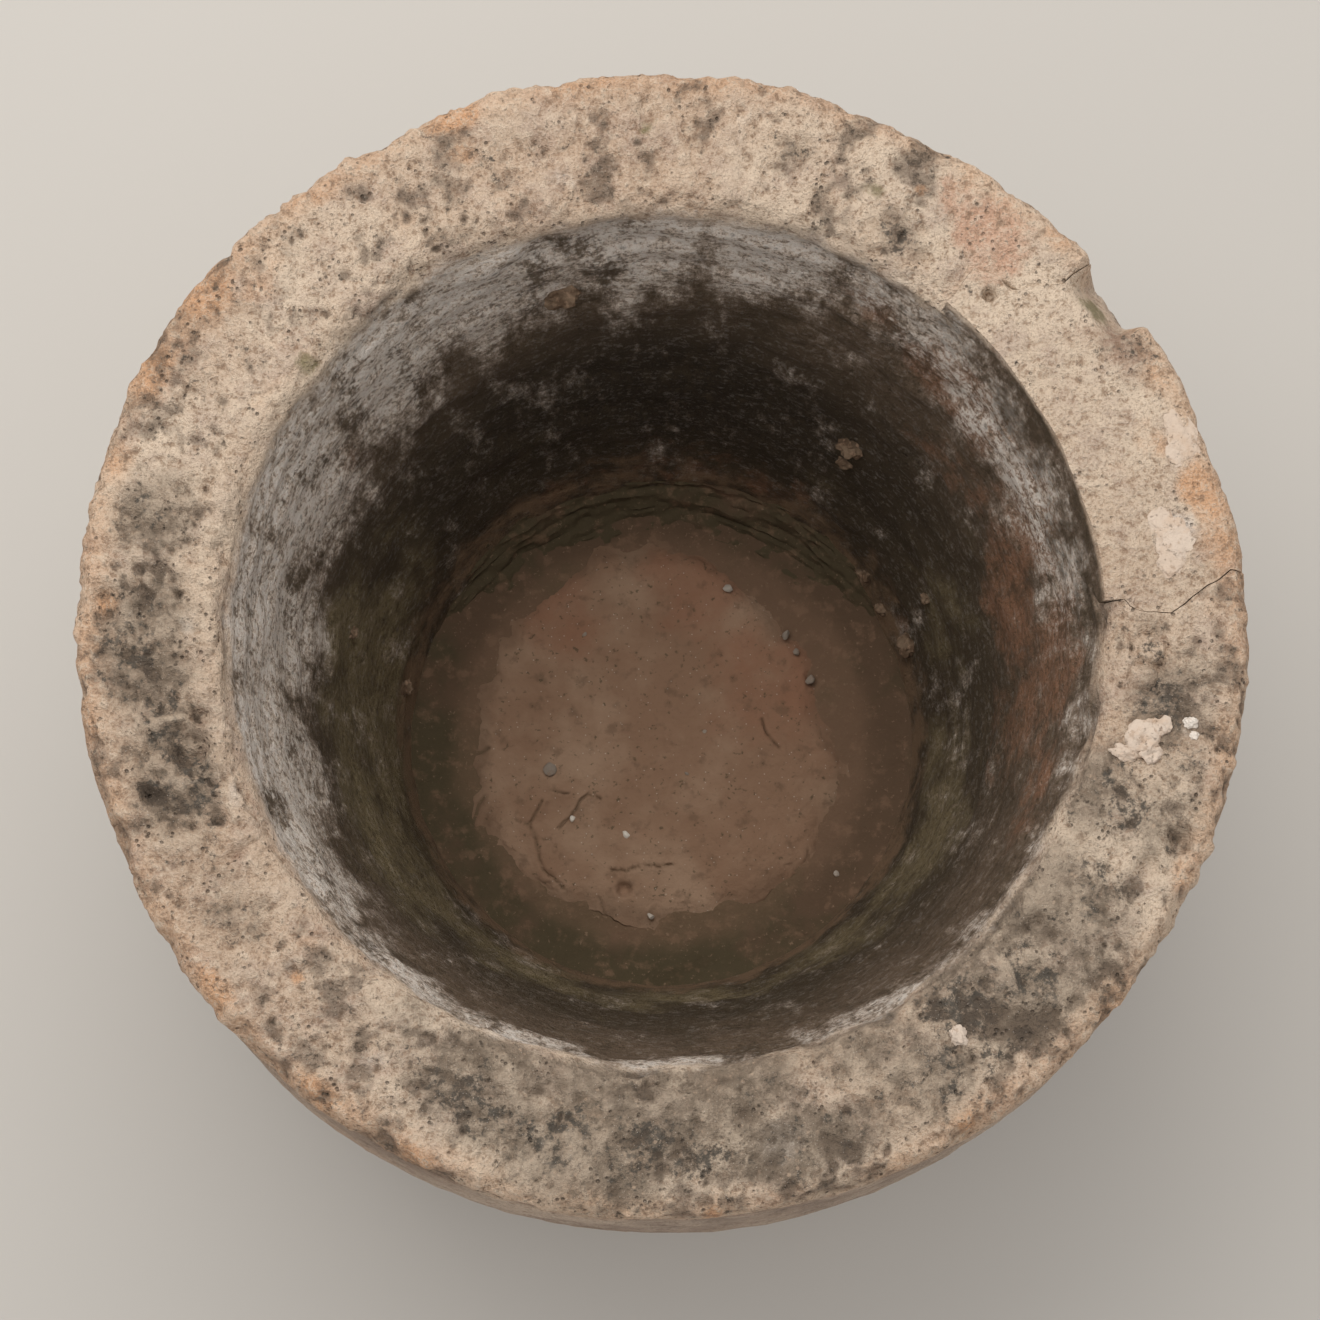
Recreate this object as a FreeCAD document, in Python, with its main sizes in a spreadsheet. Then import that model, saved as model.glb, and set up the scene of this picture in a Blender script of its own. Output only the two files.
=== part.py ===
"""A hand-hewn round stone planter with a mended rim, and the dried soil that is left in it.

The frame has +Z up and its origin at the centre of the base. Sizes are in millimetres and angles in degrees,
counted counter-clockwise from +X seen from above.
"""

import FreeCAD, Part
import Sketcher
import os
import re

from FreeCAD import Placement, Rotation, Vector

doc = FreeCAD.newDocument("stone_planter")

# Driving dimensions: each row is a cell's alias, its value and what it measures.
DIMENSIONS = [
    ("total_height", 400, "base to the top of the rim"),
    ("base_radius", 246, "side, where it meets the base's worn edge"),
    ("heel_radius", 267.5, "side, top of its lowest hewn band"),
    ("heel_level", 94, "side, height of the lowest band's top"),
    ("flank_radius", 280.5, "side, top of its middle band"),
    ("flank_level", 178, "side, height of the middle band's top"),
    ("belly_radius", 285, "side, widest point"),
    ("belly_level", 262, "side, height of the widest point"),
    ("rim_radius", 281, "side, where it meets the rim's worn edge"),
    ("rim_fall", 4, "slope of the rim's top towards the hollow"),
    ("base_arris", 10, "worn edge of the base"),
    ("rim_arris", 6, "worn outer edge of the rim"),
    ("mouth_radius", 214, "wall of the hollow, carried up to the rim's top"),
    ("mouth_arris", 11, "worn inner edge of the rim"),
    ("foot_radius", 131, "wall of the hollow, carried down to its floor"),
    ("floor_thickness", 60, "stone left under the hollow"),
    ("foot_arris", 20, "slope between the hollow's floor and wall"),
    ("cut_clearance", 30, "how far the hollow's cutter stands above the rim"),
    ("break_angle", 22.8, "middle of the broken stretch of rim"),
    ("break_reach", 234, "middle of the broken stretch, out from the axis"),
    ("break_turn", 11.3, "direction of the break across the rim"),
    ("break_half_length", 84, "broken stretch, half its length along the rim"),
    ("break_half_width", 140, "broken stretch, half its cutter's width across the rim"),
    ("break_depth", 50, "deepest point of the break under the rim"),
    ("board_angle", 25, "direction of the flat inner face that a board left on the mended stretch"),
    ("board_reach", 208, "flat inner face, out from the axis"),
    ("soil_level", 90, "top of the settled soil"),
    ("crust_thickness", 6, "dried skin of mud on the soil"),
    ("crust_radius", 113, "mud skin, half its width"),
    ("crust_x", -3, "mud skin, middle"),
    ("crust_y", 8, "mud skin, middle"),
    ("crust_arris", 3, "curled edge of the mud skin"),
    ("bank_rise", 30, "bank of mud on the far wall, over the soil"),
    ("bank_run", 12, "bank of mud, thickest point of its foot"),
    ("bank_shift", 11, "axis of the bank's inner face, along -Y from the hollow's axis"),
    ("bank_flare", 2, "how far the bank's inner face runs out past the wall at the top"),
]

# Small features. Each row is a name, the angle and the distance from the axis of the feature's middle, its height
# over the surface that it is counted from, and the sizes that its kind needs.
RIM_BITES = [
    ("notch", 37, 297, -46, 14, 32, 60),
    ("spall_far_right", 66, 314, -36, 24, 44, 46),
    ("spall_far_left", 118, 318, -34, 28, 48, 44),
    ("spall_left", 161, 312, -38, 22, 42, 48),
    ("spall_low_left", 200, 326, -32, 36, 56, 42),
    ("spall_near_left", 228, 318, -34, 28, 48, 44),
    ("spall_near_right", 329, 314, -36, 24, 44, 46),
    ("fresh_face", 52, 246, -9, 12, 50, 10),
]
MORTAR_SPLASHES = [
    ("splash_large", 346.5, 235, -5, 12, 7),
    ("splash_small", 349.2, 254, -4, 5, 6),
    ("splash_low", 305.2, 240, -4, 6, 5),
    ("smear_upper", 20.5, 262, -3, 11, 4.5),
    ("smear_lower", 9.5, 251, -4, 14, 5.5),
]
CRUST_CRACKS = [
    ("crack_cross", 209, 74, 0, 2.2, 44, 4),
    ("crack_out", 226, 58, 0, 38, 2, 4),
    ("crack_edge", 234, 90, 0, 24, 2.2, 4),
    ("crack_near", 283, 94, 0, 2, 40, 4),
    ("crack_right", 340, 82, 0, 34, 2, 4),
]
CRUST_CHIPS = [
    ("chip_dark", 219, 60, 0, 5, 4),
    ("chip_white", 250, 59, 0, 3, 3),
    ("chip_flat", 262, 80, 0, 4, 2.5),
    ("chip_far", 67, 90, 0, 6, 4),
]
WALL_CRUMBS = [
    ("crumb_right", 19.1, 147, 118, 6, 10),
    ("crumb_high", 53.6, 170, 216, 8, 11),
    ("crumb_low", 53.4, 166, 197, 6, 8),
    ("crumb_far", 105.5, 195, 315, 9, 12),
    ("crumb_left", 170.4, 146, 116, 6, 9),
]
PLACE = ("angle", "reach", "lift")
SIZE_FIELDS = {
    "bite": ("foot", "top", "height"),
    "crack": ("out", "round", "deep"),
    "flake": ("radius", "height"),
}
FLAKE_SIDES = 5
FLAKE_LEAN = 14
DAB_SIDES = 8
FULL_TURN = 360


def feature_cells(rows, kind):
    """One sheet cell for each value of the features' rows."""
    for name, *values in rows:
        for field, value in zip(PLACE + SIZE_FIELDS[kind], values):
            yield f"{name}_{field}", value, f"{name}, {field}".replace("_", " ")


cells = list(DIMENSIONS)
cells += feature_cells(RIM_BITES, "bite")
cells += feature_cells(CRUST_CRACKS, "crack")
cells += feature_cells(MORTAR_SPLASHES + CRUST_CHIPS + WALL_CRUMBS, "flake")

sheet = doc.addObject("Spreadsheet::Sheet", "Dims")
for row, (alias, value, meaning) in enumerate(cells, start=1):
    sheet.set(f"A{row}", meaning)
    sheet.set(f"B{row}", str(value))
    sheet.setAlias(f"B{row}", alias)
doc.recompute()

ALIASES = {alias for alias, _, _ in cells}


def in_sheet_terms(formula):
    """A formula in which every driving dimension stands by its alias, as the sheet's cells are called."""
    return re.sub(r"[a-z]\w*", lambda word: f"Dims.{word[0]}" if word[0] in ALIASES else word[0], formula)


def bind(item, prop, formula):
    item.setExpression(prop, in_sheet_terms(formula))


def worth(formula):
    """The present value of a formula of driving dimensions."""
    return float(sheet.evalExpression(in_sheet_terms(formula)))


def wall_radius(level):
    """The formula of the hollow's radius at a level."""
    slope = "(mouth_radius - foot_radius) / (total_height - floor_thickness)"
    return f"foot_radius + ({level} - floor_thickness) * {slope}"


def new_body(label):
    body = doc.addObject("PartDesign::Body", label)
    body.Label = label
    return body


def new_sketch(body, role):
    """A sketch on one of the body's own planes."""
    sketch = body.newObject("Sketcher::SketchObject", f"{body.Label}_sketch")
    plane = next(item for item in body.Origin.OriginFeatures if item.Role == role)
    sketch.AttachmentSupport = [(plane, "")]
    sketch.MapMode = "FlatFace"
    return sketch


def hold(sketch, geometry, vertex, across=None, up=None):
    """Holds a sketch point at distances from the sketch's origin, each a formula of driving dimensions."""
    for kind, formula in (("DistanceX", across), ("DistanceY", up)):
        if formula:
            constraint = Sketcher.Constraint(kind, -1, 1, geometry, vertex, worth(formula))
            bind(sketch, f"Constraints[{sketch.addConstraint(constraint)}]", formula)


def half_section(sketch, corners):
    """A closed outline from the axis out and back to it, through corners that are pairs of formulas.

    A corner without a formula across lies on the axis, and one without a formula up lies on the base.
    """
    places = [Vector(worth(across) if across else 0, worth(up) if up else 0, 0) for across, up in corners]
    last = len(corners) - 1
    for index, place in enumerate(places):
        following = places[0 if index == last else index + 1]
        sketch.addGeometry(Part.LineSegment(place, following), False)
    for index, (across, up) in enumerate(corners):
        sketch.addConstraint(Sketcher.Constraint("Coincident", index - 1 if index else last, 2, index, 1))
        if not across:
            sketch.addConstraint(Sketcher.Constraint("PointOnObject", index, 1, -2))
        if not up:
            sketch.addConstraint(Sketcher.Constraint("PointOnObject", index, 1, -1))
        hold(sketch, index, 1, across, up)


def turned(body, sketch, kind="PartDesign::Revolution"):
    """A half section turned about the vertical axis, to add to a body or to cut out of it."""
    feature = body.newObject(kind, f"{sketch.Name}_turned")
    feature.Profile = sketch
    feature.ReferenceAxis = (sketch, ["V_Axis"])
    feature.Angle = FULL_TURN
    doc.recompute()
    return feature


def make_block(label):
    """The outside: a base, a side hewn in bands that swells to the belly, and a rim that falls inwards."""
    body = new_body(label)
    sketch = new_sketch(body, "XZ_Plane")
    half_section(sketch, [
        (None, None),
        ("base_radius - base_arris", None),
        ("base_radius", "base_arris"),
        ("heel_radius", "heel_level"),
        ("flank_radius", "flank_level"),
        ("belly_radius", "belly_level"),
        ("rim_radius", "total_height - rim_arris"),
        ("rim_radius - rim_arris", "total_height"),
        (None, "total_height - (rim_radius - rim_arris) * tan(rim_fall)"),
    ])
    turned(body, sketch)
    return body


def make_inside(body, kind):
    """The hollow: a flat floor, a slope at its foot, a wall that leans outwards, and a flare at the mouth."""
    sketch = new_sketch(body, "XZ_Plane")
    slope_top = "(floor_thickness + foot_arris)"
    flare_foot = "(total_height - mouth_arris)"
    half_section(sketch, [
        (None, "floor_thickness"),
        ("foot_radius - foot_arris", "floor_thickness"),
        (wall_radius(slope_top), slope_top),
        (wall_radius(flare_foot), flare_foot),
        (f"{wall_radius(flare_foot)} + mouth_arris + cut_clearance", "total_height + cut_clearance"),
        (None, "total_height + cut_clearance"),
    ])
    turned(body, sketch, kind)


def make_soil_bed():
    """Settled soil that fills the hollow's foot."""
    body = new_body("soil_bed")
    sketch = new_sketch(body, "XZ_Plane")
    slope_top = "(floor_thickness + foot_arris)"
    half_section(sketch, [
        (None, "floor_thickness"),
        ("foot_radius - foot_arris", "floor_thickness"),
        (wall_radius(slope_top), slope_top),
        (wall_radius("soil_level"), "soil_level"),
        (None, "soil_level"),
    ])
    turned(body, sketch)
    return body


def make_soil_crust():
    """A skin of dried mud with a curled edge, cracked as it shrank."""
    body = new_body("whole_crust")
    sketch = new_sketch(body, "XZ_Plane")
    half_section(sketch, [
        (None, "soil_level"),
        ("crust_radius", "soil_level"),
        ("crust_radius", "soil_level + crust_thickness - crust_arris"),
        ("crust_radius - crust_arris", "soil_level + crust_thickness"),
        (None, "soil_level + crust_thickness"),
    ])
    turned(body, sketch)
    bind(body, ".Placement.Base.x", "crust_x")
    bind(body, ".Placement.Base.y", "crust_y")
    top = "soil_level + crust_thickness"
    cracks = [make_crack(name, f"{top} + {name}_lift") for name, *_ in CRUST_CRACKS]
    return cut("soil_crust", body, fused("crust_cracks", cracks))


def set_on_ring(item, name, level):
    """Puts an item at its angle and distance from the axis, turned to face outwards."""
    angle = f"{name}_angle"
    item.Placement = Placement(Vector(), Rotation(Vector(0, 0, 1), 1))
    bind(item, ".Placement.Rotation.Angle", angle)
    bind(item, ".Placement.Base.x", f"{name}_reach * cos({angle})")
    bind(item, ".Placement.Base.y", f"{name}_reach * sin({angle})")
    bind(item, ".Placement.Base.z", level)
    return item


def make_bite(name):
    """A scoop that narrows downwards, where a chip has flown off the rim."""
    scoop = doc.addObject("Part::Cone", name)
    bind(scoop, "Radius1", f"{name}_foot")
    bind(scoop, "Radius2", f"{name}_top")
    bind(scoop, "Height", f"{name}_height")
    return set_on_ring(scoop, name, f"total_height + {name}_lift")


def make_crack(name, level):
    """A slit that opens a crack from the top of the mud downwards."""
    slit = doc.addObject("Part::Box", name)
    bind(slit, "Length", f"{name}_out")
    bind(slit, "Width", f"{name}_round")
    bind(slit, "Height", f"2 * {name}_deep")
    return set_on_ring(slit, name, f"{level} - {name}_deep")


def make_flake(name, level, sides=FLAKE_SIDES, lean=FLAKE_LEAN):
    """An angular flake that leans a little, or an upright dab with more sides."""
    flake = doc.addObject("Part::Prism", name)
    flake.Polygon = sides
    flake.FirstAngle = lean
    bind(flake, "Circumradius", f"{name}_radius")
    bind(flake, "Height", f"{name}_height")
    return set_on_ring(flake, name, level)


def gathered(name, items):
    group = doc.addObject("Part::Compound", name)
    group.Links = items
    return group


def fused(name, items):
    union = doc.addObject("Part::MultiFuse", name)
    union.Shapes = items
    return union


def cut(name, base, tool):
    result = doc.addObject("Part::Cut", name)
    result.Label = name
    result.Base = base
    result.Tool = tool
    return result


def common(name, base, tool):
    result = doc.addObject("Part::Common", name)
    result.Base = base
    result.Tool = tool
    return result


def make_break():
    """The scoop of the break: a round bar laid across the rim, above it, that bites to the break's depth."""
    bar = doc.addObject("Part::Cylinder", "break_scoop")
    radius = "(break_half_length ^ 2 + break_depth ^ 2) / (2 * break_depth)"
    bind(bar, "Radius", radius)
    bind(bar, "Height", "2 * break_half_width")
    bar.Placement = Placement(Vector(), Rotation(Vector(0, 1, 0), 90))
    bind(bar, ".Placement.Rotation.Axis.x", "-sin(break_turn)")
    bind(bar, ".Placement.Rotation.Axis.y", "cos(break_turn)")
    bind(bar, ".Placement.Base.x", "break_reach * cos(break_angle) - break_half_width * cos(break_turn)")
    bind(bar, ".Placement.Base.y", "break_reach * sin(break_angle) - break_half_width * sin(break_turn)")
    bind(bar, ".Placement.Base.z", f"total_height - break_depth + {radius}")
    return bar


def make_room_behind_board():
    """The room that the fill leaves free: the hollow, short of the plane of a board set across the break."""
    core = new_body("core")
    make_inside(core, "PartDesign::Revolution")
    room = doc.addObject("Part::Box", "board_room")
    bind(room, "Length", "2 * mouth_radius")
    bind(room, "Width", "2 * mouth_radius")
    bind(room, "Height", "total_height + 2 * cut_clearance")
    room.Placement = Placement(Vector(), Rotation(Vector(0, 0, 1), 1))
    bind(room, ".Placement.Rotation.Angle", "board_angle")
    back = "(board_reach - 2 * mouth_radius)"
    bind(room, ".Placement.Base.x", f"{back} * cos(board_angle) + mouth_radius * sin(board_angle)")
    bind(room, ".Placement.Base.y", f"{back} * sin(board_angle) - mouth_radius * cos(board_angle)")
    return common("room_behind_board", core, room)


def make_stone_and_repair():
    """The stone with its broken rim, and the mortar that fills the break flush with the old surfaces."""
    vessel = make_block("vessel")
    make_inside(vessel, "PartDesign::Groove")
    scoop = make_break()
    bites = fused("rim_bites", [make_bite(name) for name, *_ in RIM_BITES])
    stone = cut("stone_body", cut("broken_vessel", vessel, scoop), bites)
    fill = cut("whole_fill", common("fill_mass", make_block("block"), scoop), make_room_behind_board())
    return vessel, stone, cut("rim_repair", fill, bites)


def upright_cone(name, middle_y, foot, top):
    """A cone on the soil, as tall as the mud bank, with bound radii at its foot and top."""
    item = doc.addObject("Part::Cone", name)
    bind(item, "Radius1", foot)
    bind(item, "Radius2", top)
    bind(item, "Height", "bank_rise")
    bind(item, ".Placement.Base.y", middle_y)
    bind(item, ".Placement.Base.z", "soil_level")
    return item


def make_mud_collar():
    """A crescent bank of mud along the far wall, thickest in its middle and run out to nothing at its ends."""
    wall_foot = wall_radius("soil_level")
    wall_top = wall_radius("(soil_level + bank_rise)")
    against_wall = upright_cone("bank_against_wall", "0", wall_foot, wall_top)
    free_foot = f"{wall_foot} - bank_run + bank_shift"
    free_top = f"{wall_top} + bank_shift + bank_flare"
    return cut("mud_collar", against_wall, upright_cone("room_before_bank", "-bank_shift", free_foot, free_top))


def make_small_groups(vessel):
    """Splashes of mortar on the rim, crumbs stuck to the wall and chips that lie on the mud."""
    rim = "total_height"
    mud = "soil_level + crust_thickness"
    dabs = [make_flake(name, f"{rim} + {name}_lift", DAB_SIDES, 0) for name, *_ in MORTAR_SPLASHES]
    crumbs = [make_flake(name, f"{name}_lift") for name, *_ in WALL_CRUMBS]
    chips = gathered("chips", [make_flake(name, f"{mud} + {name}_lift") for name, *_ in CRUST_CHIPS])
    chips.Label = "stone_chips"
    splashes = cut("mortar_splashes", gathered("dabs", dabs), vessel)
    return splashes, cut("wall_crumbs", gathered("crumbs", crumbs), vessel), chips


whole_vessel, stone_body, rim_repair = make_stone_and_repair()
soil_bed = make_soil_bed()
soil_crust = make_soil_crust()
mud_collar = make_mud_collar()
sub_parts = [stone_body, rim_repair, soil_bed, soil_crust, mud_collar]
sub_parts += make_small_groups(whole_vessel)
doc.recompute()

for item in doc.Objects:
    if "Invalid" in item.State or "Error" in item.State:
        raise RuntimeError(f"{item.Label} could not be built")
for part in sub_parts:
    if part.Shape.isNull() or not part.Shape.isValid():
        raise RuntimeError(f"{part.Label} has no valid shape")

os.makedirs("parts", exist_ok=True)
for part in sub_parts:
    part.Shape.exportStep(f"parts/{part.Label}.step")
    print(f"{part.Label}: {len(part.Shape.Solids)} solids, {part.Shape.Volume / 1000:.1f} cm3")
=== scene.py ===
"""Looks of a hand-hewn stone planter with a mended rim and dried soil in it.

The frame has +Z up, its origin at the centre of the base and metres as its unit. Places on the rim are
given by an angle in degrees, counter-clockwise from +X, and a reach in millimetres out from the axis.
"""

import math

import bmesh
import bpy
import numpy as np
from bpy.props import FloatProperty, FloatVectorProperty, PointerProperty
from bpy.types import Operator, Panel, PropertyGroup
from mathutils import Matrix, Vector, noise


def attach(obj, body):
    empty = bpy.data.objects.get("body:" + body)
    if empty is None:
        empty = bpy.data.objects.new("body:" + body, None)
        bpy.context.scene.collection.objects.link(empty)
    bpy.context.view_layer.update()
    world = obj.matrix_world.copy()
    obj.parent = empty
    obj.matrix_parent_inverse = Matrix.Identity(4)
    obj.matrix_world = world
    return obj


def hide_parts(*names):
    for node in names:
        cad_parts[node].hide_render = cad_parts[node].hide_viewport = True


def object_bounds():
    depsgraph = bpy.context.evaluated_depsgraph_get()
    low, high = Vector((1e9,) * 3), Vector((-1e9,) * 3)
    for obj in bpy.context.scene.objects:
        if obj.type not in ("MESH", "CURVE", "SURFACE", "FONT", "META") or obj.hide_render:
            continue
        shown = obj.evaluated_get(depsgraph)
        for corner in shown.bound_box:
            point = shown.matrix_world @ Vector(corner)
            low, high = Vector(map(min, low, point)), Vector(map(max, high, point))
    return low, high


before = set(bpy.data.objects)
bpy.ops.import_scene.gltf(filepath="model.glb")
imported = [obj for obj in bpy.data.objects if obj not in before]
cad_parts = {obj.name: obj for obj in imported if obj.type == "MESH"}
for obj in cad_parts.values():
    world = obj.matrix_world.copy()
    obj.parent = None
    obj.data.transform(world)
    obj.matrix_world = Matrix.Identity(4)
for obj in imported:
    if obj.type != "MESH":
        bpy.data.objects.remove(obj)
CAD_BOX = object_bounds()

bl_info = {
    "name": "Hewn stone planter",
    "version": (1, 0, 0),
    "blender": (4, 5, 0),
    "location": "3D View > Sidebar > Planter",
    "description": "Builds a weathered stone planter with a mended rim and dried soil in it",
    "category": "Add Mesh",
}

MM = 0.001
BODY = "root"

# The turned form that the stone was hewn to: corners of half its section as (reach, level), and the size of
# the mesh's rows on the run up to each next corner.
STONE_SECTION = (
    (0.2360, 0.0), (0.2460, 0.0100), (0.2668, 0.0940), (0.2792, 0.1780), (0.2832, 0.2620), (0.2812, 0.3600),
    (0.2802, 0.3925), (0.2745, 0.3984), (0.2185, 0.3948), (0.2110, 0.3872), (0.1969, 0.3300),
    (0.1359, 0.0800), (0.1110, 0.0600),
)
STONE_ROWS = (0.005, 0.0065, 0.0065, 0.0065, 0.0055, 0.0026, 0.0019, 0.0019, 0.0019, 0.0026, 0.0055, 0.008)
STONE_STEPS = 400
ARRIS_WEAR = 5
# The level from which the rim's mesh is finest, and those between which its side or wall turns into its top.
FINE_LEVEL = 0.3865
TOP_START = 0.384
TOP_LEVEL = 0.394
# The hollow's mouth, the foot of its wall as (reach, level), and how far the wall leans out on its way up.
MOUTH_REACH = 0.2185
WALL_FOOT = (0.131, 0.060)
WALL_LEAN = 83 / 340
# The reach in millimetres at which lengths round the wall are counted.
WALL_GIRTH = 205
# The rim's outer edge and a point of its top as (reach, level), with reaches in millimetres, and the fall of
# its top towards the hollow, in degrees.
RIM_EDGE = 281
RIM_POINT = (274.5, 0.3992)
RIM_FALL = 3.7
# Millimetres of height that the stored hollowness of the stone runs over, from ridge to pit; the materials
# paint highlight on the ridges and shade in the pits from it.
HOLLOW_RANGE = 6

# How far the rim's outer edge stands out (+) or in (-) of a true round, in millimetres, at angles in degrees.
RIM_WANDER = (
    (0, 1.0), (10, 0.5), (18, -2.0), (28, 0.5), (45, -1.0), (56, -2.0), (75, 0.0), (105, 0.0), (125, 2.0),
    (140, 5.0), (150, 6.0), (162, 5.0), (178, 1.0), (205, -1.0), (228, -1.0), (250, 1.0), (275, 0.0),
    (300, 1.0), (330, 0.0), (348, 1.0), (360, 1.0),
)
# Pieces knocked off the rim's outer edge: angle, half length round the rim, reach inwards and drop, in
# millimetres.
EDGE_BITES = (
    (37.0, 24, 26, 34), (66.0, 44, 9, 4), (118.0, 26, 8, 7), (129.0, 14, 7, 5), (161.0, 24, 8, 8),
    (176.0, 15, 6, 5), (200.0, 28, 9, 8), (214.0, 16, 8, 6), (228.0, 24, 10, 9), (243.0, 18, 9, 7),
    (286.0, 16, 7, 5), (302.0, 14, 7, 6), (329.0, 22, 8, 8), (349.0, 14, 6, 5),
)
# Hollows in the rim's top: angle, reach, half width outwards, half length round the rim and depth, in
# millimetres.
RIM_DENTS = (
    (195.0, 231, 12, 13, 8.0), (192.0, 226, 8, 8, 4.0), (337.0, 266, 9, 9, 7.0), (333.0, 257, 7, 8, 5.0),
    (46.1, 225.5, 5.5, 4.5, 8.0), (45.2, 238, 3.5, 6, 5.0), (321.0, 226, 5, 7, 4.0), (209.0, 227, 14, 4, 3.5),
    (178.0, 265, 11, 13, 4.0), (183.0, 254, 8, 17, 3.0), (189.0, 247, 12, 9, 2.5), (59.0, 228, 6, 7, 5.0),
    (61.5, 234, 5, 6, 4.5), (55.5, 225, 5, 6, 4.0), (57.5, 236, 4, 5, 3.0), (63.0, 227, 4, 5, 3.0),
    (273.0, 217, 8, 24, 5.0), (92.0, 259, 11, 5, 3.5), (74.0, 247, 15, 5, 4.0), (112.0, 248, 12, 6, 2.5),
    (104.0, 246, 14, 4, 2.0), (224.0, 241, 5, 6, 2.5), (307.0, 262, 4, 7, 3.0), (316.0, 240, 6, 9, 2.5),
    (301.0, 250, 6, 8, 2.5), (344.0, 262, 5, 6, 3.0), (26.9, 264, 3, 2.6, 3.0), (27.2, 273, 2.6, 2.2, 2.5),
)
# A ring groove left by a shell or a nodule: angle, reach, radius, half width and depth, in millimetres.
RING_GROOVES = ((357.2, 233, 8.5, 2.4, 3.0), (354.0, 231, 7.0, 2.2, 2.2))

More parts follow.
